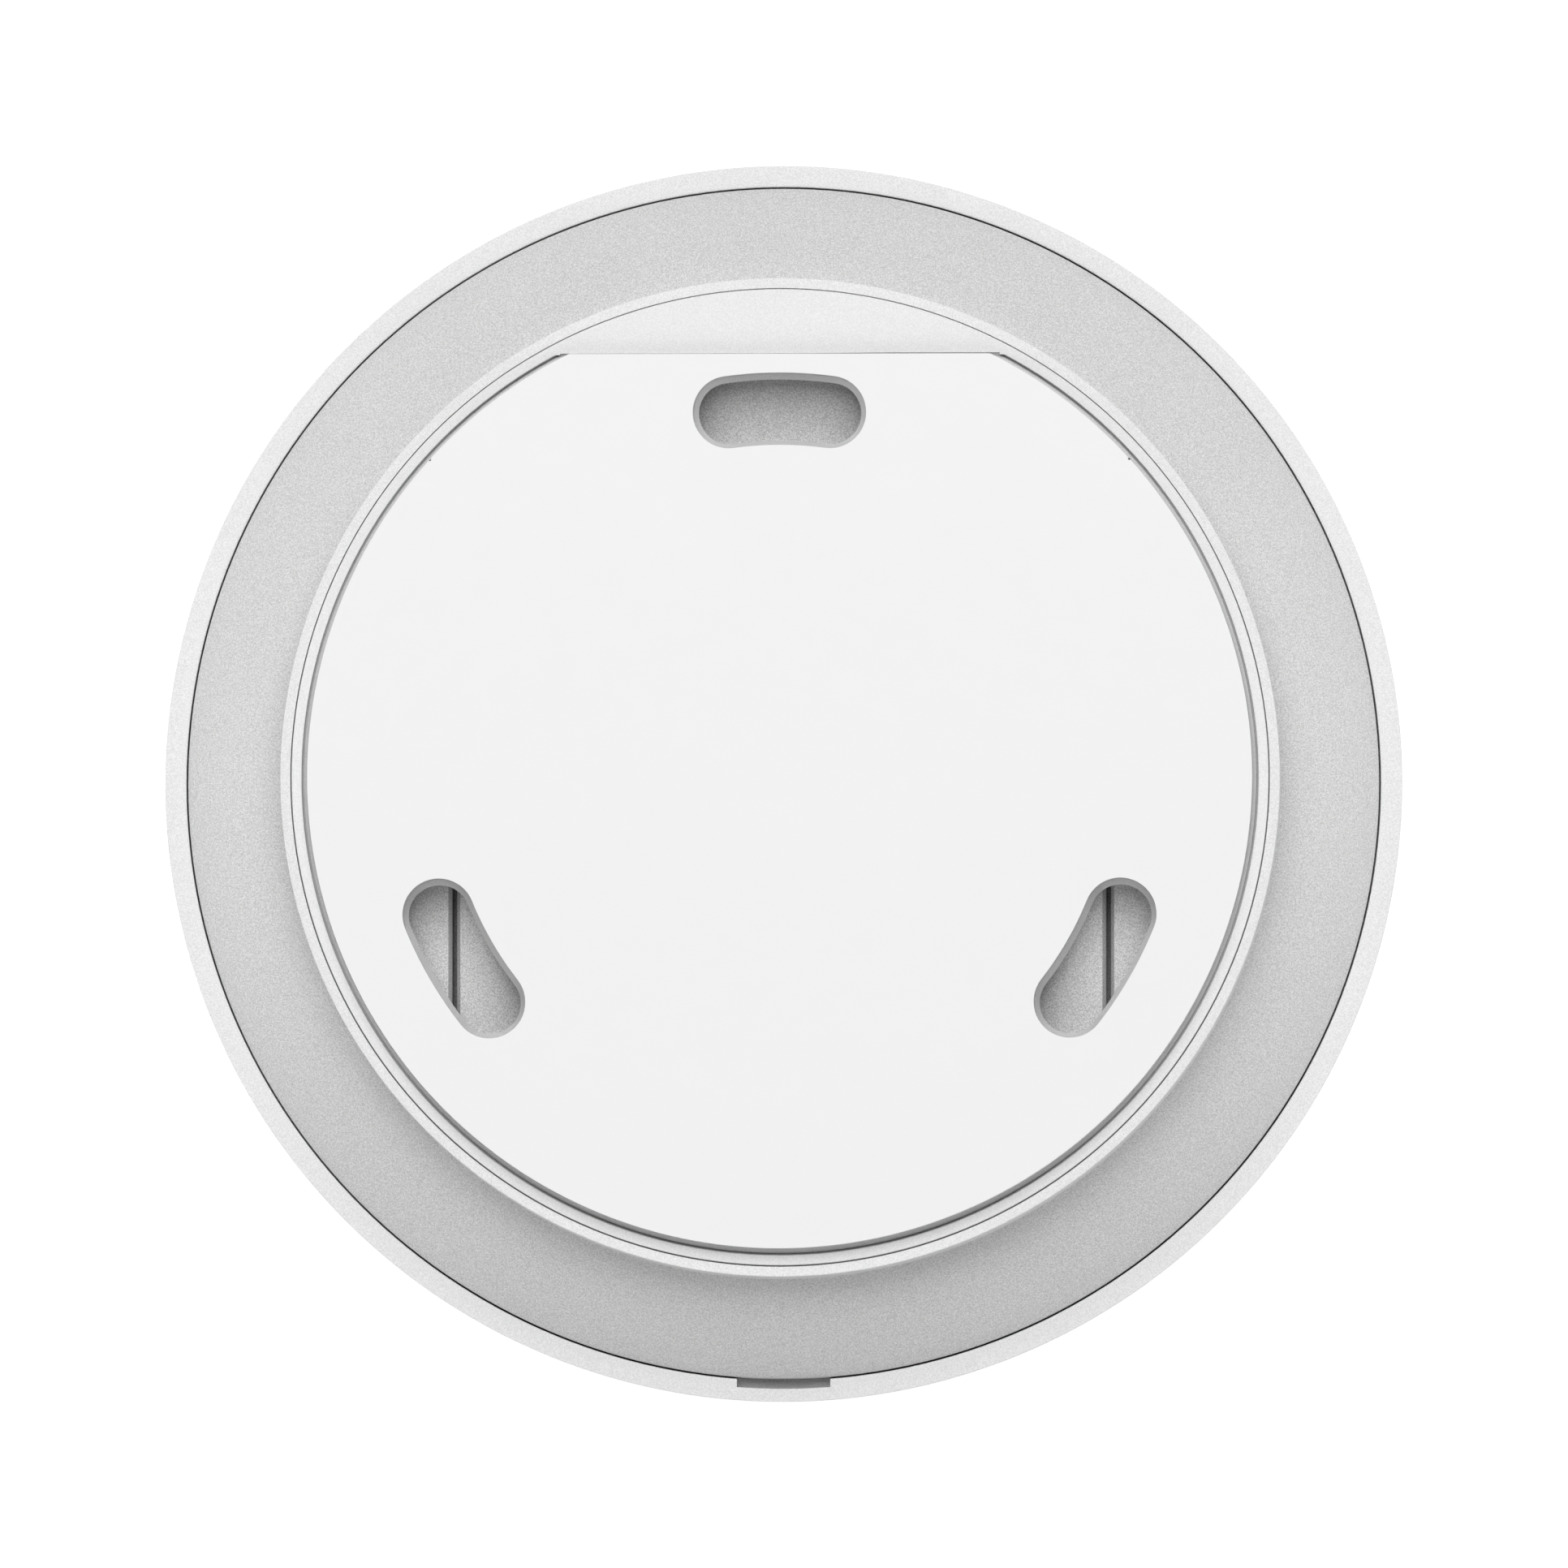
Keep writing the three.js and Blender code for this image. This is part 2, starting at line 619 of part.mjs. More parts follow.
// Three cells side by side, each the other way round from its neighbour.
[-1, 0, 1].forEach((row, i) => {
  const y = row * CELL_PITCH;
  const facing = i % 2 ? Math.PI : 0;
  const along = i % 2 ? -1 : 1;
  place(detector, `battery_${i + 1}`, cell(), CELL, [along * CELL_TIP_X, y, CELL_Z], facing);
  place(detector, `battery_contact_${i + 1}`, flatContact(), STEEL, [along * 29.25, y, CELL_Z], facing);
  place(detector, `battery_spring_${i + 1}`, springContact(), STEEL, [along * -28.95, y, CELL_Z], facing);
});

// The smoke chamber, about its own axis.
const chamber = new THREE.Group();
chamber.position.y = CHAMBER_Y;
detector.add(chamber);
place(chamber, "chamber_base", chamberBase(), BLACK);
place(chamber, "chamber_cap", chamberCap(), BLACK);
place(chamber, "insect_screen", tube(CHAMBER_R + 0.3, CHAMBER_R + 0.6, -35.7, -28.2, 36), MESH_STEEL);
place(
  chamber,
  "infrared_emitter",
  emitter(),
  DARK,
  [...polar(OPTICS_R, EMITTER_ANGLE), OPTICS_Z],
  radians(EMITTER_ANGLE + 180),
);
place(
  chamber,
  "photodiode",
  block(-1.8, 1.8, -2.1, 2.1, OPTICS_Z - 1.7, OPTICS_Z + 1.7),
  BLACK,
  [...polar(OPTICS_R, RECEIVER_ANGLE), 0],
  radians(RECEIVER_ANGLE + 180),
);

place(detector, "sounder_housing", sounderHousing(), BLACK, [SOUNDER_XY, SOUNDER_XY, 0]);
place(detector, "piezo_disc", piezoDisc(), BRASS, [SOUNDER_XY, SOUNDER_XY, 0]);
LED_ANGLES.forEach((angle, i) => {
  place(detector, `ring_led_${i + 1}`, block(19.2, 21.2, -0.8, 0.8, ...LED_Z), FROST, [0, 0, 0], radians(angle));
});
place(detector, "microcontroller", block(-3.5, 3.5, -3.5, 3.5, PARTS_Z - 1, PARTS_Z), BLACK, [27, 4, 0]);
place(detector, "radio_module", block(-7, 7, -5.5, 5.5, PARTS_Z - 2.4, PARTS_Z), STEEL, [31, -14, 0]);
place(detector, "power_inductor", block(-3, 3, -3, 3, PARTS_Z - 3, PARTS_Z), DARK, [-30, 3, 0]);
place(detector, "reservoir_capacitor", drum(4, PARTS_Z - 8.6, PARTS_Z, 18), DARK, [23, -36, 0]);
place(detector, "thermistor", thermistor(), BLACK, [46.5, -6, 0]);
place(detector, "battery_connector", block(-4, 4, -2.5, 2.5, BOARD_TOP_Z + GAP, -18), PLATE_WHITE, [-8, 31, 0]);
place(detector, "antenna_strip", sector(47.5, 48.1, BOARD_TOP_Z + GAP, -17, 195, 235, 6), STEEL);

COVER_SCREW_ANGLES.forEach((angle, i) => {
  place(detector, `cover_screw_${i + 1}`, screw(14, 1.15, 2.8, 1.9), STEEL, [...polar(COVER_SCREW_R, angle), FLOOR_Z + GAP]);
});
BOARD_SCREWS.forEach(([x, y], i) => {
  const underBoard = screw(8, 0.9, 2.3, 1.5).rotateX(Math.PI);
  place(detector, `board_screw_${i + 1}`, underBoard, STEEL, [x, y, PARTS_Z]);
});

export default whole;
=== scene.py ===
import math
import random

import bmesh
import bpy
from mathutils import Matrix, Vector


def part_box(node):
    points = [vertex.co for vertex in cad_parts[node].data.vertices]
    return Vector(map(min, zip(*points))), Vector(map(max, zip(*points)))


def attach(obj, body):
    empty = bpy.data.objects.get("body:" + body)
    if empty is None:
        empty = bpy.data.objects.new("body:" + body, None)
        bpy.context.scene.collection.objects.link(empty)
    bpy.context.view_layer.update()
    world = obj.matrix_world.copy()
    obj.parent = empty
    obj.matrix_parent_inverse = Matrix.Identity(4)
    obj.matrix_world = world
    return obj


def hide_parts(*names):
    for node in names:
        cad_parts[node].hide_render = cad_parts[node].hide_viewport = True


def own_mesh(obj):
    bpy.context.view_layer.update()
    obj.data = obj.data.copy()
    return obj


# A smoke detector seen from its ceiling side. Shapes are built in millimetres, in the frame of the packed
# model: z = 0 is the ceiling face of the mounting plate and +Z points to the ceiling. Each shape is scaled
# to metres when it becomes a piece.

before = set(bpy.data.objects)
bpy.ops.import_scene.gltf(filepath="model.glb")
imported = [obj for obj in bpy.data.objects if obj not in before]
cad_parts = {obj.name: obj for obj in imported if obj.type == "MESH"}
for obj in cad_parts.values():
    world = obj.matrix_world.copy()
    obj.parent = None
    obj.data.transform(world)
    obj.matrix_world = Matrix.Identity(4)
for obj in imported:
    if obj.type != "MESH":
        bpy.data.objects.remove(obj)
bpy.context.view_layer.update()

MM = 0.001
SIDES = 240  # facets of the large round pieces
AXIS = 0.02  # how near the axis a turned profile starts and ends
FILLET_STEP = math.radians(23)
SMOOTH_TO = math.radians(32)  # edges that turn more than this stay sharp
SLIVER = 0.001  # edges shorter than this are merged
LARGE_FLAT = 24.0  # square millimetres: faces this large are flat, and are shaded flat

# The covers and the mounting plate
BODY_R = 60.0
RIM_INNER_R = 57.93
BACK_R = 57.76
RING_R = 48.35
POCKET_R = 47.36
FLANGE_R = 47.31
GROOVE_OUTER_R = 46.27
LAND_FOOT_R = 46.1
LAND_R = 45.69
LAND_CHORD_Y = 40.9
PLATE_PLAY = 0.03
FLANGE_Z = -1.6
GROOVE_Z = -2.42
PLATE_BACK_Z = -2.6
FLOOR_Z = -6.2
FLOOR_UNDER_Z = FLOOR_Z - 1.6
DOOR_SEAT_Z = FLOOR_Z - 1.7
RIM_Z = -13.4
SIDE_END_Z = -28.0
FRONT_Z = -38.6
INNER_FRONT_Z = FRONT_Z + 1.8

# Screw slots, bayonet hooks and fixing screws
SLOT_PITCH_R = 35.57
SLOT_LENGTH = 16.8
SLOT_WIDTH = 6.98
SLOT_BEVEL = 0.52
HOOK_ANGLES = (30, 150, 270)
HOOK_HALF = 7
SCREW_R = 40.5
SCREW_ANGLES = (20, 160, 270)
BOARD_SCREWS = ((34.8, 22), (-34.8, 22), (14, -30.2))

# The battery door, with the (inset, drop) steps of the bevels beside its seams
DOOR_HALF = 31.42
SEAM_WIDTH = 0.48
SEAM_EDGE = ((0, 0.85), (0.3, 0.05), (0.36, 0))
CELL_PITCH = 15.5
CELL_Z = -15.2
CELL_TIP_X = 28.6
CELL_CONTACT_X = 29.25
CELL_SPRING_X = -28.95

# The front cover's vents and pry notch
VENTS = 60
VENT_HALF = (1.2, 4.25)
VENT_MID_Z = -22.45
VENT_R = BODY_R - 0.673
SIDE_TILT = math.degrees(math.atan(1.1 / 14.3))
NOTCH_R = 58.74
NOTCH_HALF = 4.42  # degrees
NOTCH_SIDE = 4.53
NOTCH_Z = RIM_Z - 2.3

# The board, the button and what stands on the board
BOARD_Z = (-25.9, -24.3)
PARTS_Z = -26.2
LIGHT_RING_R = (17.0, 18.6)
LED_ANGLES = (10, 130, 250)
LED_Z = PARTS_Z - 0.7
SPRING_Z = (-36.4, -26.7)
SOUNDER_XY = -24.4
SOUNDER_R = 13.6
CHAMBER = (0, 35, 0)
CHAMBER_R = 13.8
OPTICS_R = 6.2
OPTICS_Z = -32.0
EMITTER_ANGLE = 215
RECEIVER_ANGLE = 325

# Materials: the size of specks, and how much darker the plate's walls and groove are painted, as painted
# shade
SPECK_SIZE = 0.13
WALL_PAINTED_SHADE = 0.8
GROOVE_PAINTED_SHADE = 0.84

# The camera
FRAME_WIDTH = 152.04  # across the picture, at the height of the front cover's back edge
LENS = 1000.0
SENSOR = 36.0
TILT = 3.4  # degrees off the object's axis
AIM = Vector((0.05, -0.06, RIM_Z))


# ---------------- outlines and profiles

def polar(radius, degrees):
    return radius * math.cos(math.radians(degrees)), radius * math.sin(math.radians(degrees))


def places(radius, angles):
    """Places on a circle, as (x, y)."""
    return [polar(radius, angle) for angle in angles]


def arc(radius, start, stop, steps, centre=(0, 0)):
    """Points along an arc between two angles in degrees."""
    turns = [start + (stop - start) * i / steps for i in range(steps + 1)]
    return [(centre[0] + polar(radius, t)[0], centre[1] + polar(radius, t)[1]) for t in turns]


def filleted(corners, closed=True):
    """A line through corners (x, y) or (x, y, radius), each with a radius rounded by an arc."""
    line = []
    for i, corner in enumerate(corners):
        here = Vector(corner[:2])
        at_end = not closed and i in (0, len(corners) - 1)
        if len(corner) < 3 or at_end:
            line.append(here)
            continue
        came = here - Vector(corners[i - 1][:2])
        goes = Vector(corners[(i + 1) % len(corners)][:2]) - here
        turn = math.atan2(came.x * goes.y - came.y * goes.x, came.dot(goes))
        spread = abs(math.tan(turn / 2))
        reach = min(corner[2] * spread, 0.49 * came.length, 0.49 * goes.length)
        start = here - came.normalized() * reach
        centre = start + Vector((-came.y, came.x)).normalized() * math.copysign(reach / spread, turn)
        steps = max(2, math.ceil(abs(turn) / FILLET_STEP))
        for k in range(steps + 1):
            line.append(centre + Matrix.Rotation(turn * k / steps, 2) @ (start - centre))
    return [tuple(point) for point in line]


def disc(radius, sides=SIDES):
    """A circle's outline, as a function of how far it is set in."""
    return lambda inset: arc(radius - inset, 0, 360 - 360 / sides, sides - 1)


def rectangle(x0, x1, y0, y1, corner_r, steps=5):
    """A rounded rectangle's outline, as a function of how far it is set in."""
    def outline(inset):
        r = max(corner_r - inset, 0.02)
        left, right = x0 + inset + r, x1 - inset - r
        low, high = y0 + inset + r, y1 - inset - r
        centres = ((right, high), (left, high), (left, low), (right, low))
        return [p for i, c in enumerate(centres) for p in arc(r, 90 * i, 90 * i + 90, steps, c)]
    return outline


def bean(inset):
    """The outline of a screw slot about +Y, as a function of how far it is set in."""
    half_width = SLOT_WIDTH / 2 - inset
    half = math.degrees((SLOT_LENGTH - SLOT_WIDTH) / 2 / SLOT_PITCH_R)
    start, stop = 90 - half, 90 + half
    return (
        arc(SLOT_PITCH_R + half_width, start, stop, 10)
        + arc(half_width, stop, stop + 180, 24, polar(SLOT_PITCH_R, stop))[1:]
        + arc(SLOT_PITCH_R - half_width, stop, start, 10)[1:]
        + arc(half_width, start + 180, start + 360, 24, polar(SLOT_PITCH_R, start))[1:-1]
    )


def edge(fillet, z, up):
    """(inset, z) steps of a rounded edge, from the wall to the end face at z."""
    turns = [math.radians(a) for a in (0, 22.5, 45, 67.5, 90)]
    return [(fillet * (1 - math.cos(a)), z - up * fillet * (1 - math.sin(a))) for a in turns]


def mouth(fillet, z, up, bottom, beyond=1.0):
    """(inset, z) steps of a cutter that leaves a rounded edge where it passes a face at z."""
    steps = [(0, bottom)]
    for a in (math.radians(d) for d in (0, 22.5, 45, 67.5)):
        steps.append((-fillet * (1 - math.cos(a)), z - up * fillet * (1 - math.sin(a))))
    inset, height = steps[-1]
    steps.append((inset - 2 * fillet * math.sin(a), height + up * 2 * fillet * math.cos(a)))
    steps.append((steps[-1][0], z + up * beyond))
    return steps


# ---------------- meshes

def mesh_from(bm):
    bmesh.ops.recalc_face_normals(bm, faces=bm.faces)
    mesh = bpy.data.meshes.new("shape")
    bm.to_mesh(mesh)
    bm.free()
    return mesh


def loft(rings, closed=False):
    """A solid through rings of the same number of points, capped at both ends unless it closes on itself."""
    bm = bmesh.new()
    loops = [[bm.verts.new(point) for point in ring] for ring in rings]
    following = loops[1:] + loops[:1] if closed else loops[1:]
    for low, high in zip(loops, following):
        for i in range(len(low)):
            bm.faces.new((low[i - 1], low[i], high[i], high[i - 1]))
    if not closed:
        bm.faces.new(loops[0])
        bm.faces.new(loops[-1])
    return mesh_from(bm)


def lathe(profile, closed=True, sides=SIDES):
    """A profile of (r, z) points turned about Z."""
    angles = [2 * math.pi * i / sides for i in range(sides)]
    rings = [[(r * math.cos(a), r * math.sin(a), z) for a in angles] for r, z in profile]
    return loft(rings, closed)


def turned(corners, sides=SIDES):
    """A lathe through corners that start and end beside the axis."""
    return lathe(filleted(corners, closed=False), closed=False, sides=sides)


def stack(outline, steps):
    """A solid through one outline at several (inset, z) steps."""
    return loft([[(x, y, z) for x, y in outline(inset)] for inset, z in steps])


def slab(outline, z0, z1, fillet0=0.0, fillet1=0.0):
    """An outline between two heights, with rounded edges."""
    low = edge(fillet0, z0, -1)[::-1] if fillet0 else [(0, z0)]
    high = edge(fillet1, z1, 1) if fillet1 else [(0, z1)]
    return stack(outline, low + high)


def block(x0, x1, y0, y1, z0, z1, fillet=0.15):
    """A box with rounded edges and corners."""
    return slab(rectangle(x0, x1, y0, y1, fillet + 0.05, 4), z0, z1, fillet, fillet)


def sector(inner, outer, z0, z1, start, stop, fillet=0.0, steps=14):
    """Part of a ring between two angles in degrees."""
    def outline(inset):
        trim = math.degrees(inset / outer)
        there = arc(outer - inset, start + trim, stop - trim, steps)
        return there + arc(inner + inset, stop - trim, start + trim, steps)
    return slab(outline, z0, z1, fillet, fillet)


def moved(mesh, at=(0, 0, 0), turn=0.0, tilt=0.0):
    """The mesh tilted about Y, then turned about Z, then moved."""
    mesh.transform(
        Matrix.Translation(at)
        @ Matrix.Rotation(math.radians(turn), 4, "Z")
        @ Matrix.Rotation(math.radians(tilt), 4, "Y")
    )
    return mesh


def post(radius, z0, z1, at, sides=24, fillet1=0.0):
    """An upright cylinder between two heights at (x, y)."""
    return moved(slab(disc(radius, sides), z0, z1, 0, fillet1), (*at, 0))


def together(meshes):
    """Several meshes as one, without joining their surfaces."""
    bm = bmesh.new()
    for mesh in meshes:
        bm.from_mesh(mesh)
    result = bpy.data.meshes.new("shape")
    bm.to_mesh(result)
    bm.free()
    return result


def painted(mesh, which):
    """A mesh in one of its piece's materials, or with each face's chosen from its centre."""
    for face in mesh.polygons:
        face.material_index = which(face.center) if callable(which) else which
    return mesh


def from_axis(point):
    return math.hypot(point.x, point.y)


def added(name, data):
    """A new object in the scene."""
    made = bpy.data.objects.new(name, data)
    bpy.context.scene.collection.objects.link(made)
    return made


def combined(base, tool, operation):
    """A boolean of two solids."""
    body, other = added("base", base), added("tool", tool)
    modifier = body.modifiers.new("boolean", "BOOLEAN")
    modifier.operation = operation
    modifier.solver = "MANIFOLD"
    modifier.object = other
    bpy.context.view_layer.update()
    result = bpy.data.meshes.new_from_object(body.evaluated_get(bpy.context.evaluated_depsgraph_get()))
    bpy.data.objects.remove(body)
    bpy.data.objects.remove(other)
    result.materials.clear()
    return result


def without(base, *tools):
    """A solid less some others, which don't touch each other."""
    return combined(base, together(tools), "DIFFERENCE")


def joined(base, *others):
    for other in others:
        base = combined(base, other, "UNION")
    return base


def cleaned(mesh):
    """The mesh without the slivers that booleans leave."""
    bm = bmesh.new()
    bm.from_mesh(mesh)
    bmesh.ops.dissolve_degenerate(bm, dist=SLIVER, edges=bm.edges)
    bm.to_mesh(mesh)
    bm.free()
    return mesh


def piece(name, mesh, materials, body="detector", replaced=True):
    """A finished mesh as a piece of the model. It stands for the CAD node of its name unless told not to."""
    cleaned(mesh).shade_smooth()
    for face in mesh.polygons:
        face.use_smooth = face.area < LARGE_FLAT
    mesh.transform(Matrix.Scale(MM, 4))
    for material in materials if isinstance(materials, tuple) else (materials,):
        mesh.materials.append(material)
    mesh.set_sharp_from_angle(angle=SMOOTH_TO)
    made = added(name + "_visual", mesh)
    made.modifiers.new("normals", "WEIGHTED_NORMAL").keep_sharp = True
    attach(made, body)
    if replaced:
        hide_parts(name)
    return made


# ---------------- materials

class Paint:
    """A procedural material, with short ways to make its nodes."""

    def __init__(self, name):
        self.material = bpy.data.materials.new(name)
        self.material.use_nodes = True
        self.tree = self.material.node_tree
        self.shader = self.tree.nodes["Principled BSDF"]
        self.coordinates = self.tree.nodes.new("ShaderNodeTexCoord")
        self.where = self.coordinates.outputs["Object"]

    def fill(self, node, sockets):
        """Gives each named socket its value, or links it to another node's output."""
        for name, value in sockets.items():
            if isinstance(value, bpy.types.NodeSocket):
                self.tree.links.new(value, node.inputs[name])
            else:
                node.inputs[name].default_value = value

    def node(self, kind, sockets, **settings):
        made = self.tree.nodes.new("ShaderNode" + kind)
        for name, value in settings.items():
            setattr(made, name, value)
        self.fill(made, sockets)
        return made

    def noise(self, size, detail=2.0, where=None):
        """Noise whose features are about that size in millimetres."""
        sockets = {"Scale": 1 / (size * MM), "Detail": detail, "Vector": where or self.where}
        return self.node("TexNoise", sockets).outputs["Fac"]

    def between(self, share, low, high, start=0.3, stop=0.7):
        """A number that goes from low to high as the share goes from start to stop."""
        sockets = {"From Min": start, "From Max": stop, "To Min": low, "To Max": high, "Value": share}
        return self.node("MapRange", sockets).outputs["Result"]

    def mixed(self, share, first, second):
        sockets = {"A": (*first, 1), "B": (*second, 1), "Factor": share}
        return self.node("Mix", sockets, data_type="RGBA").outputs["Result"]

    def multiplied(self, tone, factor, share=1.0):
        """The tone times a factor, applied in full or by a share."""
        sockets = {"A": tone, "B": factor, "Factor": share}
        return self.node("Mix", sockets, data_type="RGBA", blend_type="MULTIPLY").outputs["Result"]

    def bumped(self, height, depth, **under):
        """Surface relief of that depth in millimetres, which can lie over another relief, its Normal."""
        return self.node("Bump", {"Distance": depth * MM, "Height": height, **under}).outputs["Normal"]


def moulded(name, colour, roughness, grain, depth, mottle=0.03, speck=0.0, clean_land_and_painted_shade=False):
    """Moulded plastic: spark-eroded grain, slow changes of tone and gloss, and fine specks.

    When its last flag is set, its top face stays clean and the faces below have the specks, and its walls
    and groove are painted darker: painted shade in the recesses."""
    paint = Paint(name)
    dark = tuple(c * (1 - mottle) for c in colour)
    tone = paint.mixed(paint.between(paint.noise(9, 3), 0, 1), dark, colour)
    specked = 1.0
    if clean_land_and_painted_shade:
        height = paint.node("SeparateXYZ", {"Vector": paint.where}).outputs["Z"]
        facing = paint.node("SeparateXYZ", {"Vector": paint.coordinates.outputs["Normal"]}).outputs["Z"]
        # Painted shade: faces that turn sideways, and those below the flange in the groove, are painted
        # darker.
        groove = paint.between(height, GROOVE_PAINTED_SHADE, 1, (FLANGE_Z - 0.2) * MM, FLANGE_Z * MM)
        tone = paint.multiplied(tone, paint.between(facing, WALL_PAINTED_SHADE, 1, 0.1, 0.5))
        tone = paint.multiplied(tone, groove)
        specked = paint.between(height, 1, 0, -0.5 * MM, -0.3 * MM)
    if speck:
        tone = paint.multiplied(tone, paint.between(paint.noise(SPECK_SIZE, 1), 1, 1 - speck), specked)
    fine = paint.bumped(paint.noise(grain), depth)
    paint.fill(paint.shader, {
        "Base Color": tone,
        "Roughness": paint.between(paint.noise(2.5, 4), roughness - 0.05, roughness + 0.07),
        "Normal": paint.bumped(paint.noise(14, 1), depth * 1.5, Normal=fine),
        "IOR": 1.46,
    })
    return paint.material


def metal(name, colour, roughness, grain, stretch=(1, 1, 1)):
    """Metal with drawn or rolled marks: stretch squeezes the noise along an axis."""
    paint = Paint(name)
    mapping = paint.node("Mapping", {"Scale": stretch, "Vector": paint.where})
    marks = paint.noise(grain, 3, mapping.outputs["Vector"])
    dull = tuple(c * 0.82 for c in colour)
    paint.fill(paint.shader, {
        "Base Color": paint.mixed(paint.between(marks, 0, 1), dull, colour),
        "Roughness": paint.between(marks, roughness + 0.12, roughness - 0.05),
        "Normal": paint.bumped(marks, 0.004),
        "Metallic": 1.0,
    })
    return paint.material


def frosted(name):
    """Milky plastic that passes light: a soft scatter under a fine matt grain."""
    made = moulded(name, (0.86, 0.89, 0.9), 0.38, 0.2, 0.004, 0.04)
    shader = made.node_tree.nodes["Principled BSDF"]
    shader.inputs["Transmission Weight"].default_value = 0.35
    shader.inputs["Subsurface Weight"].default_value = 0.4
    shader.inputs["Subsurface Scale"].default_value = 1.5 * MM
    return made


def solder_mask(name):
    """Green solder mask over copper: square runs of track show through as a lighter, raised tone."""
    paint = Paint(name)
    mask = (0.012, 0.09, 0.04, 1)
    slanted = paint.node("Mapping", {"Rotation": (0, 0, math.radians(45)), "Vector": paint.where})
    tracks = paint.node("TexBrick", {
        "Scale": 1 / (3.1 * MM),
        "Mortar Size": 0.09,
        "Mortar Smooth": 0.2,
        "Brick Width": 1.4,
        "Row Height": 0.35,
        "Color1": mask,
        "Color2": mask,
        "Mortar": (0.035, 0.2, 0.09, 1),
        "Vector": slanted.outputs["Vector"],
    })
    paint.fill(paint.shader, {
        "Base Color": tracks.outputs["Color"],
        "Roughness": paint.between(paint.noise(3, 3), 0.28, 0.42),
        "Normal": paint.bumped(tracks.outputs["Fac"], 0.02),
    })
    return paint.material


COVER_WHITE = moulded("cover_white", (0.8, 0.8, 0.8), 0.52, 0.2, 0.02, 0.015, 0.2)
# Painted shade: a darker copy of the cover's white, with more specks, for the back cover's sloping shoulder
# and the ring's outer wall.
SHOULDER_WHITE_PAINTED_SHADE = moulded("shoulder_white_painted_shade", (0.71, 0.71, 0.71), 0.56, 0.2, 0.03, 0.015, 0.36)
# Painted shade: a copy of the cover's white with heavier specks, darker on the whole, for the floor of the
# recessed pocket and the battery door in it.
POCKET_WHITE_PAINTED_SHADE = moulded("pocket_white_painted_shade", (0.86, 0.86, 0.86), 0.58, 0.2, 0.02, 0.02, 0.44)
PLATE_WHITE = moulded("plate_white", (0.78, 0.78, 0.78), 0.55, 0.5, 0.002, 0.004, 0.14, True)
BLACK_PLASTIC = moulded("black_plastic", (0.012, 0.012, 0.013), 0.55, 0.22, 0.006, 0.3)
DARK_PLASTIC = moulded("dark_plastic", (0.03, 0.032, 0.038), 0.4, 0.3, 0.004, 0.25)
DARK_EPOXY = moulded("dark_epoxy", (0.015, 0.01, 0.02), 0.12, 2.0, 0.001, 0.3)
CERAMIC = moulded("ceramic", (0.62, 0.55, 0.44), 0.45, 0.12, 0.003, 0.12)
PHOSPHOR = moulded("phosphor", (0.85, 0.62, 0.08), 0.35, 0.15, 0.002, 0.1)
CELL_SLEEVE = moulded("cell_sleeve", (0.045, 0.06, 0.08), 0.3, 1.4, 0.002, 0.15)
CELL_BAND = moulded("cell_band", (0.55, 0.57, 0.58), 0.3, 1.4, 0.002, 0.06)
STEEL = metal("steel", (0.62, 0.63, 0.65), 0.3, 0.5, (1, 1, 6))
SCREEN_STEEL = metal("screen_steel", (0.42, 0.43, 0.44), 0.38, 0.2)
TIN = metal("tin", (0.72, 0.72, 0.7), 0.32, 0.25)
BRASS = metal("brass", (0.72, 0.5, 0.2), 0.33, 0.4, (1, 5, 1))
FROSTED = frosted("frosted_plastic")
BOARD_GREEN = solder_mask("board_green")


# ---------------- mounting plate

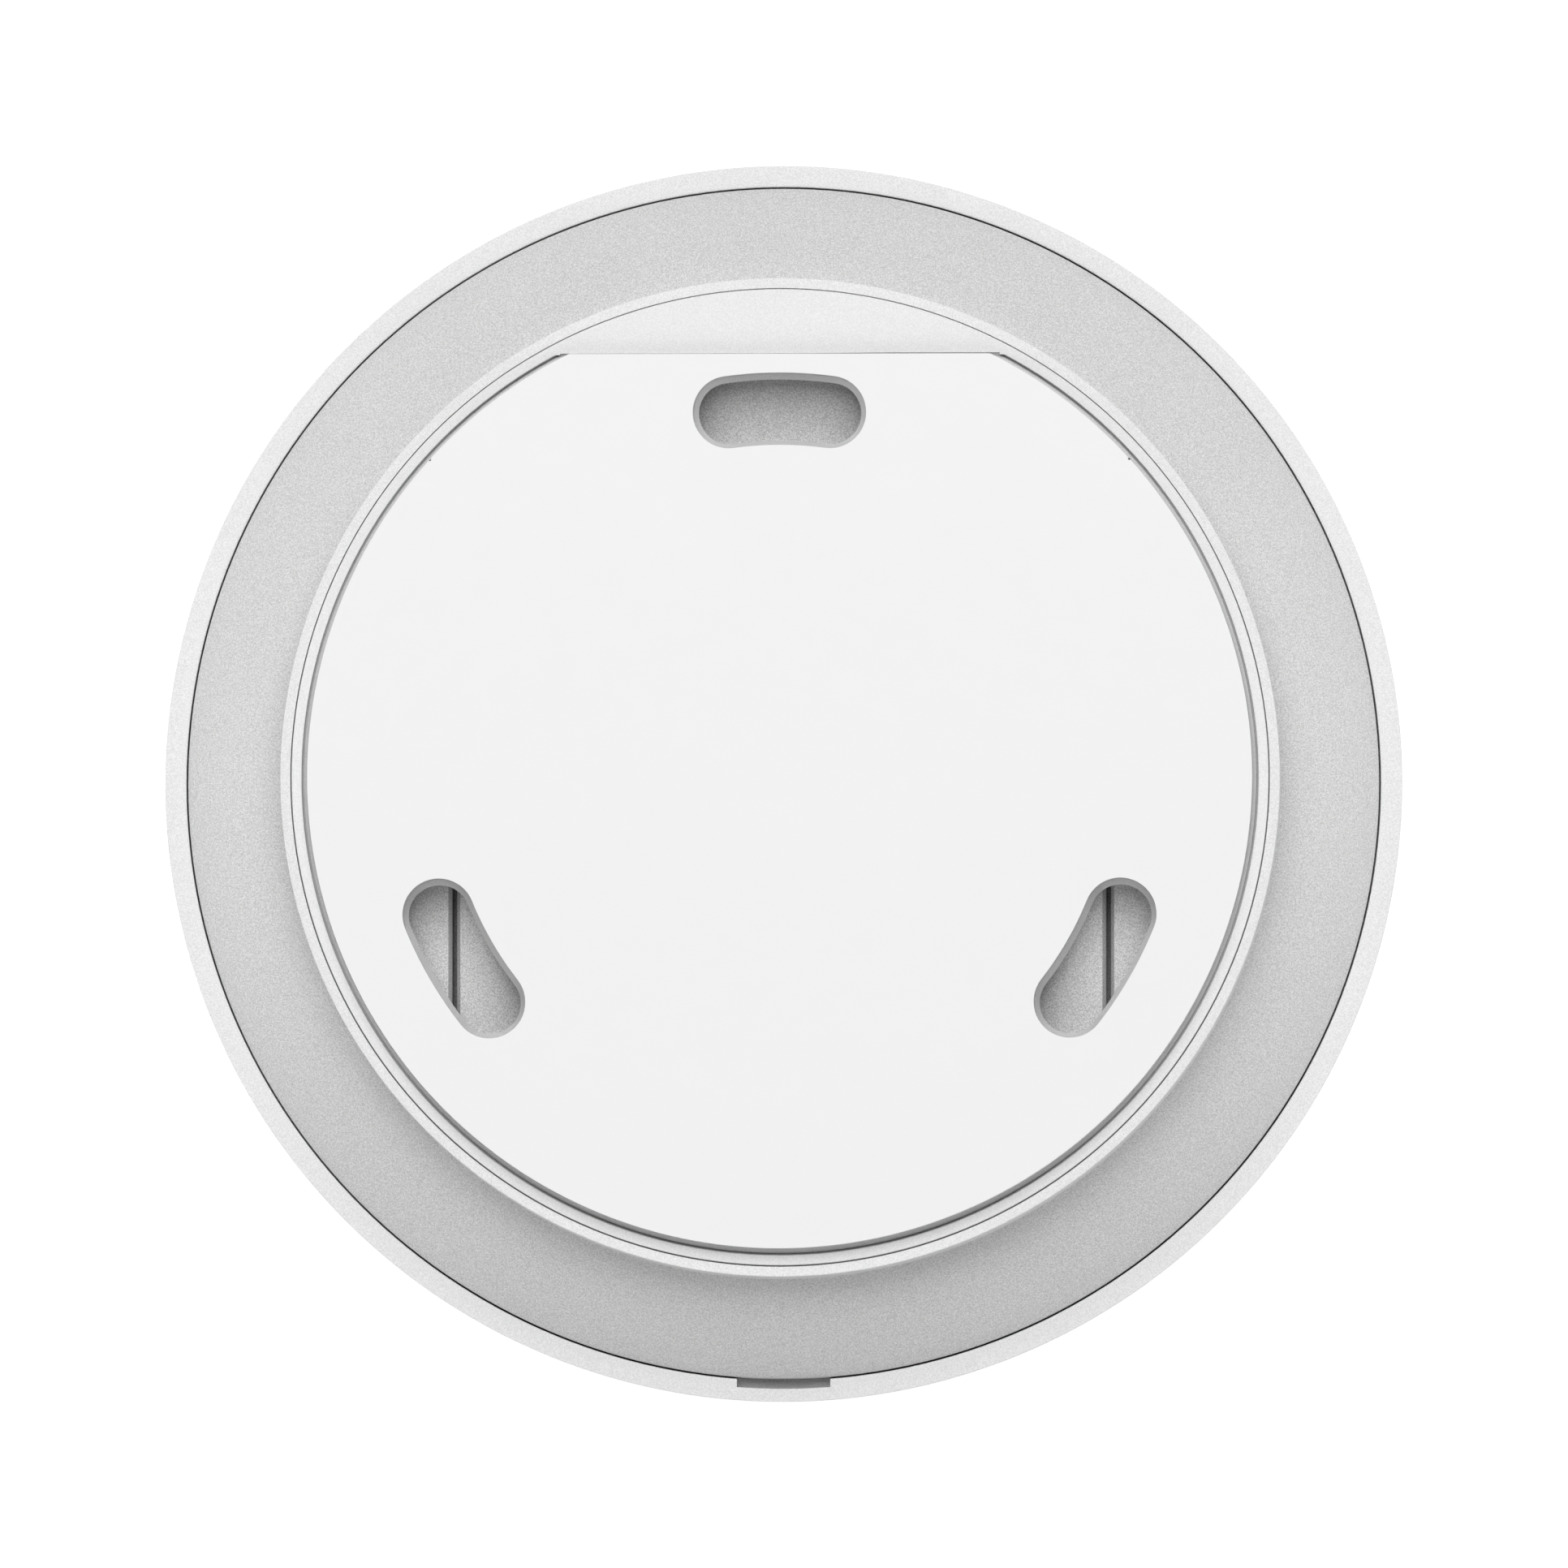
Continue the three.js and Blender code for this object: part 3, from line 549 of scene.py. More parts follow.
def mounting_plate():
    past = BODY_R
    rim = [
        (AXIS, PLATE_BACK_Z),
        (FLANGE_R, PLATE_BACK_Z, 0.15),
        (FLANGE_R, FLANGE_Z - 0.28),
        (FLANGE_R - 0.06, FLANGE_Z - 0.04),
        (FLANGE_R - 0.09, FLANGE_Z),
    ]
    land = turned([
        *rim,
        (GROOVE_OUTER_R, FLANGE_Z, 0.12),
        (GROOVE_OUTER_R - 0.02, GROOVE_Z),
        (LAND_FOOT_R, GROOVE_Z),
        (LAND_FOOT_R - 0.03, GROOVE_Z + 0.35),
        (LAND_R + 0.05, GROOVE_Z + 0.5),
        (LAND_R, 0, 0.04),
        (AXIS, 0),
    ])
    # What the chord cuts off: the land's edge is left with a narrow chamfer.
    side = [
        (LAND_CHORD_Y, -3.4),
        (LAND_CHORD_Y, -0.05),
        (LAND_CHORD_Y - 0.15, 0.1),
        (LAND_CHORD_Y - 0.15, 2),
        (past, 2),
        (past, -3.4),
    ]
    beyond_chord = loft([[(x, y, z) for y, z in side] for x in (-past, past)])
    near = LAND_CHORD_Y - 0.02
    flange = turned([*rim, (AXIS, FLANGE_Z)])
    segment = combined(flange, block(-past, past, near, past, -4, 1, 0.01), "INTERSECT")
    # A slot's wall is straight, and narrows with a bevel at the plate's back, where a screw's head bears.
    steps = [
        (SLOT_BEVEL, PLATE_BACK_Z - 0.4),
        (SLOT_BEVEL, PLATE_BACK_Z + 0.1),
        (SLOT_BEVEL - 0.03, PLATE_BACK_Z + 0.13),
        (0.03, -1.8),
        (0, -1.72),
        (0, -0.03),
        (-0.2, 0.16),
        (-0.2, 1),
    ]
    slots = [moved(stack(bean, steps), turn=turn) for turn in (0, 120, 240)]
    # A channel parts the segment from the chord, wider at one end, and two pinholes mark the land's edge.
    end = math.sqrt(LAND_FOOT_R ** 2 - LAND_CHORD_Y ** 2)
    wide, narrow = near + 0.2, near + 0.14
    along = [(-end, near), (end, near), (end, wide), (10, wide), (2, narrow), (-end, narrow)]
    channel = loft([[(x, y, z) for x, y in along] for z in (FLANGE_Z - 0.3, FLANGE_Z + 0.2)])
    pinholes = [post(0.13, PLATE_BACK_Z - 0.5, 1, at, 12) for at in places(LAND_R - 0.03, (42.2, 137.8))]
    plate = without(joined(without(land, beyond_chord), segment), *slots, *pinholes)
    plate = without(plate, channel)
    hooks = []
    for angle in HOOK_ANGLES:
        span = (angle - HOOK_HALF, angle + HOOK_HALF)
        stem = sector(44.2, 45.5, -5.5, PLATE_BACK_Z + 0.3, *span)
        hooks.append(joined(stem, sector(44.9, 46.9, -5.5, -4.3, *span, 0.2)))
    # The plate rests a little off the middle of its ring, within its play.
    return moved(joined(plate, *hooks), (0, PLATE_PLAY, 0))


# ---------------- covers

def shoulder(start, stop, steps=14, first=18, last=47):
    """The back cover's curved shoulder: an arc whose slope grows evenly from first to last, in degrees."""
    a, b = math.radians(first), math.radians(last)
    slopes = [a + (b - a) * i / steps for i in range(steps + 1)]
    return [(
        start[0] + (stop[0] - start[0]) * (math.sin(s) - math.sin(a)) / (math.sin(b) - math.sin(a)),
        start[1] + (stop[1] - start[1]) * (math.cos(a) - math.cos(s)) / (math.cos(a) - math.cos(b)),
    ) for s in slopes]


def back_cover():
    shell = turned([
        (AXIS, FLOOR_Z),
        (POCKET_R, FLOOR_Z, 0.35),
        (POCKET_R, FLANGE_Z - 0.12),
        (POCKET_R + 0.02, FLANGE_Z - 0.03),
        (POCKET_R + 0.04, FLANGE_Z),
        (RING_R, FLANGE_Z, 0.1),
        (RING_R, -6.9, 0.1),
        *shoulder((RING_R + 0.02, -6.91), (BACK_R - 0.12, -13.0))[1:],
        (BACK_R, -13.25, 0.15),
        (BACK_R, -16.6, 0.2),
        (BACK_R - 1.5, -16.6, 0.2),
        *shoulder((RING_R - 0.6, -8.8), (BACK_R - 1.5, -14.3), 8)[::-1],
        (RING_R - 1.6, FLOOR_UNDER_Z),
        (AXIS, FLOOR_UNDER_Z),
    ])
    ledges = []
    for angle in HOOK_ANGLES:
        stop = angle - HOOK_HALF - 0.5
        ledges.append(sector(45.9, POCKET_R + 0.3, -4.0, -2.9, stop - 2, angle + 8.5, 0.1))
        ledges.append(sector(45.9, POCKET_R + 0.3, FLOOR_Z - 0.3, -3.0, stop - 2, stop, 0.0, 3))
    seat = DOOR_SEAT_Z
    door_frame = block(-33.2, 33.2, -34.6, 28.8, seat - 1.5, FLOOR_Z - 0.5, 0.3)
    bay = block(-31.4, 31.4, -24.9, 24.9, -24.0, seat - 1, 0.8)
    channels = [block(x - 1.1, x + 1.1, -34.6, 28.8, seat - 5.6, seat - 1, 0.3) for x in (-32, 32)]
    bosses = [post(3, -24.0, FLOOR_UNDER_Z + 0.4, at, 40) for at in BOARD_SCREWS]
    whole = joined(shell, *ledges, door_frame, bay, *channels, *bosses)
    # The opening's edges are bevelled as the door's are. A slit under each seam lets it look deep.
    half = DOOR_HALF + SEAM_WIDTH
    widest = -SEAM_EDGE[-1][0] - 0.05
    opening = stack(rectangle(-half, half, -33, 26.3, 0.5), [
        (0, seat),
        *[(-inset, FLOOR_Z - drop) for inset, drop in SEAM_EDGE[:-1]],
        (widest, FLOOR_Z + 0.05),
        (widest, FLOOR_Z + 1),
    ])
    slits = [block(x, x + SEAM_WIDTH, -32, 25.5, seat - 3.8, seat + 0.5, 0.05) for x in (-half, DOOR_HALF)]
    tab_pockets = [block(x - 3.3, x + 3.3, 25, 27.8, seat, seat + 1, 0.05) for x in (-15, 15)]
    hollow = slab(rectangle(-29.8, 29.8, -23.3, 23.3, 1.0), -22.6, 0, 0.6)
    pilots = [post(0.8, -25, -15, at) for at in BOARD_SCREWS]
    holes = [post(1.7, FLOOR_UNDER_Z - 1, 0, at, 32) for at in places(SCREW_R, SCREW_ANGLES)]
    for cutter in (opening, *tab_pockets, hollow):
        whole = without(whole, cutter)
    whole = without(whole, *slits, *pilots, *holes)

    def finish(centre):
        # Inside the pocket: the pocket's painted shade.
        if from_axis(centre) < POCKET_R - 0.3:
            return 1
        # The shoulder and the ring's outer wall take the shoulder's painted shade.
        return 2 if from_axis(centre) > RING_R - 0.05 and centre.z < FLANGE_Z - 0.2 else 0

    return painted(whole, finish)


def front_cover():
    corner = [(50.5 + 8.4 * c, SIDE_END_Z - 10.2 * s) for c, s in arc(1, 0, 90, 24)]
    inner_corner = [(50.3 + 6.8 * c, SIDE_END_Z - 8.4 * s) for c, s in arc(1, 0, 90, 16)]
    shell = lathe(filleted([
        (RIM_INNER_R, RIM_Z - 0.02, 0.12),
        (RIM_INNER_R + 0.35, RIM_Z),
        (BODY_R - 0.04, RIM_Z - 0.1, 0.05),
        (BODY_R, RIM_Z - 0.18, 0.05),
        *corner,
        (18.9, FRONT_Z, 0.3),
        (18.9, INNER_FRONT_Z, 0.2),
        *inner_corner[::-1],
        (RIM_INNER_R - 0.1, -17.8, 0.1),
        (RIM_INNER_R - 0.9, -17.4, 0.1),
        (RIM_INNER_R - 0.9, -16.7, 0.1),
        (RIM_INNER_R, -16.7, 0.05),
    ]))
    screws_at = places(SCREW_R, SCREW_ANGLES)
    posts = [post(3.5, INNER_FRONT_Z - 0.6, FLOOR_Z - 1.9, at, 48, 0.3) for at in screws_at]
    pilots = [post(0.95, -24, 0, at) for at in screws_at]
    half_width, half_height = VENT_HALF
    vents = []
    for i in range(VENTS):
        outline = rectangle(-half_height, half_height, -half_width, half_width, half_width, 7)
        vent = moved(stack(outline, mouth(0.25, 0, 1, -4, 2)), (VENT_R, 0, VENT_MID_Z), tilt=90 + SIDE_TILT)
        vents.append(moved(vent, turn=360 / VENTS * (i + 0.5)))
    sound_slots = []
    for i, length in enumerate((8, 12, 14, 12, 8)):
        outline = rectangle(-length / 2, length / 2, -0.8, 0.8, 0.8, 7)
        slot = moved(stack(outline, mouth(0.25, -38.4, -1, INNER_FRONT_Z + 1)), (0, 3.2 * (i - 2), 0))
        sound_slots.append(moved(slot, (SOUNDER_XY, SOUNDER_XY, 0), -45))
    # The pry notch has its own floor, which closes the gap beside the back cover.
    outer_edge = arc(NOTCH_R, 270 - NOTCH_HALF, 270 + NOTCH_HALF, 12)
    outline = [*outer_edge, (NOTCH_SIDE, -56), (-NOTCH_SIDE, -56)]
    notch = loft([[(x, y, z) for x, y in outline] for z in (NOTCH_Z, RIM_Z + 1)])
    wide = NOTCH_HALF + 0.38
    notch_floor = sector(BACK_R + 0.02, BACK_R + 0.8, NOTCH_Z - 0.8, NOTCH_Z, 270 - wide, 270 + wide)
    body = without(joined(shell, *posts), *pilots, *vents, *sound_slots, notch)
    return joined(body, notch_floor)


def battery_door():
    back = FLOOR_Z - 1.4
    panel = stack(
        rectangle(-DOOR_HALF, DOOR_HALF, -26, 26, 0.8),
        edge(0.12, back, -1)[::-1] + [(inset, FLOOR_Z - drop) for inset, drop in SEAM_EDGE],
    )
    tabs = [block(x - 3, x + 3, 25, 27.4, back, back + 0.6, 0.12) for x in (-15, 15)]
    ribs = [
        slab(rectangle(-9, 9, -24 + 2.4 * i, -23 + 2.4 * i, 0.5), FLOOR_Z - 0.3, FLOOR_Z + 0.5, 0, 0.35)
        for i in range(4)
    ]
    return joined(panel, *tabs, *ribs)


# ---------------- button, light ring and switch

def test_button():
    cap = turned([
        (AXIS, -38.25), (8, -38.4, 30), (13.6, -38.9, 6), (15.9, -39, 0.5), (16.7, -38.6, 0.35),
        (16.7, -35, 0.15), (19, -35, 0.25), (19, -34, 0.25), (15.2, -34, 0.2), (15.2, -36.85, 0.4),
        (2, -36.85, 0.4), (2, -31.4, 0.3), (AXIS, -31.4),
    ])
    groove = lathe(filleted([(11.2, -39.5), (12, -39.5), (11.75, -38.45, 0.08), (11.45, -38.45, 0.08)]))
    ribs = [moved(block(6.3, 15.6, -0.45, 0.45, -37, -35.4, 0.12), turn=60 * i) for i in range(6)]
    return joined(without(cap, groove), *ribs)


def light_ring():
    inner, outer = LIGHT_RING_R
    ring = lathe(filleted([
        (inner, -38.8, 0.3), (outer, -38.8, 0.3), (outer, -36.5, 0.15), (20, -36.5, 0.2),
        (20, -35.3, 0.2), (inner, -35.3, 0.2),
    ]))
    legs = [moved(block(19.3, 20.6, -1.5, 1.5, -36.3, LED_Z - 0.3, 0.2), turn=angle) for angle in LED_ANGLES]
    return joined(ring, *legs)


def switch_plunger():
    return turned([(AXIS, -31.1), (1.7, -31.1, 0.35), (1.7, -30.2, 0.15), (AXIS, -30.2)])


def tact_switch():
    """A body with a hole for the plunger, a steel frame under it and four bent legs."""
    body = without(block(-3, 3, -3, 3, -29.6, PARTS_Z - 0.1, 0.25), slab(disc(2, 48), -31, -28.2))
    frame_plate = without(block(-2.9, 2.9, -2.9, 2.9, -29.9, -29.55, 0.06), slab(disc(2, 48), -31, -28))
    legs = [
        moved(leg((2.9, 3.6, 3.8, 4.6), -28.6), (0, y, 0), 180 * side)
        for y in (-2.2, 2.2) for side in (0, 1)
    ]
    return together([painted(body, 0), painted(frame_plate, 1), *(painted(one, 1) for one in legs)])


def leg(reach, from_z, half_width=0.3, thickness=0.15):
    """A bent lead along +X: out of its case at from_z, and then flat on the board."""
    x0, x1, x2, x3 = reach
    foot = BOARD_Z[0]
    over = from_z + thickness
    upper = [(x0, from_z), (x1, from_z), (x2, foot - thickness), (x3, foot - thickness)]
    lower = [(x3, foot), (x2 - thickness, foot), (x1 - thickness, over), (x0, over)]
    return loft([[(x, y, z) for x, z in upper + lower] for y in (-half_width, half_width)])


def wire(path, radius, sides=12):
    """A round wire along a path of points."""
    points = [Vector(p) for p in path]
    across = Vector((0, 0, 1)).cross(points[1] - points[0])
    across = (across if across.length > 1e-6 else Vector((1, 0, 0))).normalized()
    rings = []
    for i, point in enumerate(points):
        ahead = (points[min(i + 1, len(points) - 1)] - points[max(i - 1, 0)]).normalized()
        across = (across - ahead * across.dot(ahead)).normalized()
        up = ahead.cross(across)
        turns = [2 * math.pi * k / sides for k in range(sides)]
        rings.append([point + (across * math.cos(t) + up * math.sin(t)) * radius for t in turns])
    return loft(rings)


def coil(r0, r1, z0, z1, turns, thickness):
    """A compression spring about Z whose first and last turns lie flat."""
    steps = 32 * turns
    dead, rates = 0.9 / turns, []
    for i in range(steps):
        share = (i + 0.5) / steps
        near_end = min(share, 1 - share) / dead
        rates.append(1.05 * thickness * turns / steps if near_end < 1 else None)
    flat = sum(rate for rate in rates if rate)
    free = (z1 - z0 - flat) / sum(rate is None for rate in rates)
    z, path = z0, []
    for i in range(steps + 1):
        share = i / steps
        path.append((*polar(r0 + (r1 - r0) * share, 360 * turns * share), z))
        if i < steps:
            z += free if rates[i] is None else rates[i]
    return wire(path, thickness / 2)


# ---------------- cells and their contacts

def battery_cell():
    """A dry cell along +X with its positive tip at the origin: steel can, sleeve and a plain band."""
    cell = turned([
        (AXIS, 0), (2.6, 0, 0.45), (2.65, -1.3, 0.2), (5.9, -1.45, 0.2), (6.1, -1.75, 0.15),
        (6.5, -1.75, 0.2), (6.6, -1.4, 0.15), (7.1, -1.45, 0.4), (7.1, -13.5), (7.1, -14),
        (7.1, -50.45, 0.4), (6.4, -50.5, 0.15), (6.2, -50.2, 0.15), (4.4, -50.3, 0.4),
        (4.2, -50.45, 0.3), (AXIS, -50.45),
    ], 64)

    def finish(centre):
        bare = from_axis(centre) < 6.2 or from_axis(centre) < 6.45 and centre.z > -1.8
        return 0 if bare else 2 if centre.z > -13.5 else 1

    return moved(painted(cell, finish), tilt=90)


def contact_plate(x0, x1):
    """A stamped contact plate with rounded corners and two fixing holes."""
    plate = slab(rectangle(-5, 5, -5, 5, 1.1), x0, x1, 0.08, 0.08)
    holes = [post(0.55, x0 - 1, x1 + 1, (at, at), 20) for at in (-3.9, 3.9)]
    return moved(without(plate, *holes), tilt=90)


def spring_contact():
    eye = moved(coil(4.4, 2.6, 0.35, 5.55, 3, 0.9), tilt=90)
    return together([contact_plate(-0.5, 0), eye])


def flat_contact():
    pad = moved(turned([(AXIS, -0.35), (1.5, -0.35, 0.6), (2.1, 0.1), (AXIS, 0.1)], 64), tilt=90)
    return joined(contact_plate(-0.15, 0.35), pad)


# ---------------- board

def main_board():
    low, high = BOARD_Z
    board = slab(disc(52, 160), low, high, 0.08, 0.08)
    holes = [post(4, low - 1, high + 1, at, 48) for at in places(SCREW_R, SCREW_ANGLES)]
    holes += [post(1.5, low - 1, high + 1, at, 32) for at in BOARD_SCREWS]
    return without(board, *holes)


def board_pads():
    """Tinned rings round the board's screw holes, and test lands along its edge."""
    pads = []
    for z0, z1 in ((BOARD_Z[0] - 0.04, BOARD_Z[0]), (BOARD_Z[1], BOARD_Z[1] + 0.04)):
        tube = [(1.55, z0), (2.6, z0), (2.6, z1), (1.55, z1)]
        pads += [moved(lathe(tube, sides=40), (*at, 0)) for at in BOARD_SCREWS]
        pads += [post(0.45, z0, z1, polar(50.3, 15 * i + 7), 16) for i in range(24)]
    return together(pads)


def chip(x, y, turn, length, width, height, top):
    """A small component on the board's underside: a body with metal ends."""
    z = BOARD_Z[0]
    half, middle = length / 2, 0.3 * length
    parts = [painted(stack(
        rectangle(-middle, middle, -width / 2, width / 2, 0.06, 2),
        [(0.04, z - height), (0, z - height + 0.05), (0, z)],
    ), top)]
    for x0, x1 in ((-half, -middle), (middle, half)):
        parts.append(painted(stack(
            rectangle(x0, x1, -width / 2, width / 2, 0.06, 2),
            [(0.04, z - height - 0.02), (0, z - height + 0.03), (0, z)],
        ), 1))
    return [moved(part, (x, y, 0), turn) for part in parts]


def board_components():
    """Resistors and capacitors in short rows, wherever the larger pieces leave room."""
    boxes = {name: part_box(name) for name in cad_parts}
    taken = [
        (low, high) for name, (low, high) in boxes.items()
        if (high - low).x < 60 * MM
        and (BOARD_Z[0] - 0.9 < high.z / MM < BOARD_Z[0] + 3 or name == "chamber_base")
    ]
    keep_out = [(*at, 5.5) for at in places(SCREW_R, SCREW_ANGLES)] + [(*at, 3.6) for at in BOARD_SCREWS]
    keep_out += [(0, 0, 8.5), (SOUNDER_XY, SOUNDER_XY, 15), (*CHAMBER[:2], 16.5)]

    def free(x, y):
        return math.hypot(x, y) < 48.5 and not any(
            math.hypot(x - a, y - b) < radius for a, b, radius in keep_out
        ) and not any(
            low.x / MM - 1.8 < x < high.x / MM + 1.8 and low.y / MM - 1.8 < y < high.y / MM + 1.8
            for low, high in taken
        )

    resistor, flat_capacitor, tall_capacitor = (1.6, 0.8, 0.45, 0), (2, 1.25, 0.6, 2), (1.6, 0.8, 0.8, 2)
    draw = random.Random(11)
    parts = []
    for row in range(-15, 16):
        for column in range(-15, 16):
            x, y = 3.1 * column + draw.uniform(-0.4, 0.4), 3.1 * row
            turn = draw.choice((0, 90))
            kind = draw.choice((resistor, resistor, flat_capacitor, tall_capacitor))
            if draw.random() < 0.45 and free(x, y):
                parts += chip(x, y, turn, *kind)
    return together(parts)


def microcontroller():
    body = block(-2.7, 2.7, -2.7, 2.7, PARTS_Z - 1, PARTS_Z - 0.1, 0.12)
    dot = post(0.3, PARTS_Z - 1.2, PARTS_Z - 0.95, (-1.9, 1.9), 20)
    legs = []
    for i in range(-3, 4):
        for quarter in range(4):
            lead = moved(leg((2.65, 3.0, 3.15, 3.5), PARTS_Z - 0.6, 0.13, 0.1), (0, 0.6 * i, 0))
            legs.append(painted(moved(lead, turn=90 * quarter), 1))
    return moved(together([without(body, dot), *legs]), (27, 4, 0))


def radio_module():
    """A screening can on its own small board, with soldered edge contacts."""
    carrier = block(-7, 7, -5.5, 5.5, PARTS_Z - 0.6, BOARD_Z[0], 0.1)
    can = block(-6.4, 4.2, -4.9, 4.9, PARTS_Z - 2.4, PARTS_Z - 0.6, 0.35)
    holes = [post(0.35, PARTS_Z - 3, PARTS_Z - 2.1, (x, y), 20) for x in (-5, 2.8) for y in (-3.5, 3.5)]
    contacts = [
        painted(block(x, x + 0.7, y, y + 0.5, PARTS_Z - 0.65, BOARD_Z[0], 0.1), 2)
        for x in (-6.2, -4.6, -3, -1.4, 0.2, 1.8, 3.4, 5) for y in (-5.6, 5.1)
    ]
    parts = [painted(carrier, 1), painted(without(can, *holes), 0), *contacts]
    return moved(together(parts), (31, -14, 0))


def power_inductor():
    core = block(-3, 3, -2.2, 2.2, PARTS_Z - 3, PARTS_Z - 0.3, 0.5)
    wide = block(-2.2, 2.2, -3, 3, PARTS_Z - 3, PARTS_Z - 0.3, 0.5)
    ends = [painted(block(x - 0.9, x + 0.9, -2, 2, PARTS_Z - 0.6, BOARD_Z[0], 0.15), 1) for x in (-2, 2)]
    return moved(together([joined(core, wide), *ends]), (-30, 3, 0))


def reservoir_capacitor():
    """A sleeved aluminium can with a crimp by its base and a scored vent."""
    end = PARTS_Z - 8.6
    can = turned([
        (AXIS, end + 0.25), (3.2, end + 0.25, 0.1), (3.35, end, 0.12), (4, end, 0.5),
        (4, PARTS_Z - 2.2, 0.3), (3.6, PARTS_Z - 1.7, 0.3), (4, PARTS_Z - 1.2, 0.3),
        (4, PARTS_Z - 0.3, 0.3), (AXIS, PARTS_Z - 0.3),
    ], 64)
    painted(can, lambda centre: 1 if from_axis(centre) < 3.3 and centre.z < -30 else 0)
    heights = (PARTS_Z - 0.5, PARTS_Z, BOARD_Z[0])
    leads = [painted(wire([(x, 0, z) for z in heights], 0.3), 1) for x in (-1.75, 1.75)]
    return moved(together([can, *leads]), (23, -36, 0))


def thermistor():
    bead = turned([(AXIS, -34.8), (0.9, -34.6, 0.5), (1.3, -33.5, 1.0), (0.7, -32.2, 0.6), (AXIS, -32.1)], 32)
    legs = []
    for side in (-1, 1):
        path = [(0.5 * side, 0, -32.6)] + [(0.7 * side, 0, z) for z in (-31, -28, BOARD_Z[0])]
        legs.append(painted(wire(path, 0.22), 1))
    return moved(together([bead, *legs]), (46.5, -6, 0))


def battery_connector():
    top = -18.0
    shell = block(-4, 4, -2.5, 2.5, BOARD_Z[1] + 0.05, top, 0.25)
    wells = [block(x - 1.3, x + 1.3, -1.6, 1.6, top - 4, top + 1, 0.15) for x in (-1.9, 1.9)]
    key = block(-1, 1, 2.2, 3, top - 3.5, top + 1, 0.1)
    pins = [block(x - 0.32, x + 0.32, -0.32, 0.32, BOARD_Z[0] - 0.2, top - 1, 0.1) for x in (-1.9, 1.9)]
    body = without(shell, *wells, key)
    return moved(together([body, *(painted(pin, 1) for pin in pins)]), (-8, 31, 0))


def antenna_strip():
    strip = sector(47.5, 48.1, BOARD_Z[1], -17, 195, 235, 0.12, 30)
    slots = [sector(47, 49, -21.2, -18.4, a, a + 2.5, 0, 3) for a in (200, 208, 216, 224)]
    return without(strip, *slots)


def ring_led(angle):
    body = block(19.2, 21.2, -0.8, 0.8, LED_Z, BOARD_Z[0], 0.12)
    window = slab(rectangle(19.6, 20.8, -0.55, 0.55, 0.3), LED_Z - 0.03, LED_Z + 0.1)
    ends = [block(x, x + 0.35, -0.82, 0.82, LED_Z + 0.25, BOARD_Z[0], 0.06) for x in (19.15, 20.9)]
    return moved(together([body, painted(window, 1), *(painted(end, 2) for end in ends)]), turn=angle)


# ---------------- smoke chamber and sounder

def chamber_base():
    plate = slab(disc(CHAMBER_R, 120), PARTS_Z - 1.8, PARTS_Z, 0.3, 0.3)
    holders = [
        moved(block(-2.6, 2.6, -2.2, 2.2, OPTICS_Z + 2.1, PARTS_Z - 1.5, 0.3), (*polar(OPTICS_R, a), 0), a)
        for a in (EMITTER_ANGLE, RECEIVER_ANGLE)
    ]
    ribs = []
    for r in (3.0, 9.4):
        ribs.append(lathe([(r, -28.2), (r + 0.5, -28.2), (r + 0.5, -27.8), (r, -27.8)], sides=120))
    feet = [post(0.9, PARTS_Z - 0.4, BOARD_Z[0], at) for at in places(11.6, (30, 150, 270))]
    return moved(joined(plate, *holders, *ribs, *feet), CHAMBER)


def chamber_cap():
    """The labyrinth: a plate with a ring of hooked vanes that keeps light out and lets air in."""
    front, top = -36.0, PARTS_Z - 2.1
    plate = slab(disc(CHAMBER_R, 120), front, front + 1.1, 0.35, 0.2)
    vanes = []
    for i in range(16):
        straight = moved(block(-2.1, 2.1, -0.35, 0.35, front + 0.8, top, 0.15), (11.5, 0, 0), 40)
        hook = moved(block(-0.35, 0.35, -1.1, 0.35, front + 0.8, top, 0.15), (9.9, -1.35, 0), 40)
        vanes.append(moved(joined(straight, hook), turn=22.5 * i))
    return moved(joined(plate, together(vanes)), CHAMBER)


def insect_screen(r0=14.1, r1=14.4, z0=-35.7, z1=-28.2, columns=96, rows=8, hole=0.33):
    """A thin tube with a round hole in each cell of its grid."""
    bm = bmesh.new()
    pitch = (z1 - z0) / rows
    rim = [(1, 0), (1, 1), (0, 1), (-1, 1), (-1, 0), (-1, -1), (0, -1), (1, -1)]

    def corner(radius, column, row, u, v):
        turn = 2 * math.pi * (column + 0.5 + u) / columns
        return bm.verts.new((radius * math.cos(turn), radius * math.sin(turn), z0 + pitch * (row + 0.5 + v)))

    for column in range(columns):
        for row in range(rows):
            loops = []
            for radius in (r0, r1):
                loops.append([corner(radius, column, row, u / 2, v / 2) for u, v in rim])
                loops.append([corner(radius, column, row, *polar(hole, 45 * k)) for k in range(8)])
            outside = [(loops[0], loops[1]), (loops[1], loops[3]), (loops[3], loops[2])]
            for first, second in outside:
                for i in range(8):
                    bm.faces.new((first[i - 1], first[i], second[i], second[i - 1]))
            for edge_row, pair in ((rows - 1, (1, 2, 3)), (0, (5, 6, 7))):
                if row == edge_row:
                    for i, j in zip(pair, pair[1:]):
                        bm.faces.new((loops[0][i], loops[0][j], loops[2][j], loops[2][i]))
    bmesh.ops.remove_doubles(bm, verts=bm.verts, dist=1e-4)
    return moved(mesh_from(bm), CHAMBER)


def infrared_emitter():
    case = turned([
        (AXIS, -2.6), (1.9, -2.6, 0.1), (1.9, -1.7, 0.1), (1.5, -1.7, 0.1), (1.5, 1.3, 1.2),
        (0.9, 2.4, 0.8), (AXIS, 2.6),
    ], 40)
    return at_optics(moved(case, tilt=90), EMITTER_ANGLE)


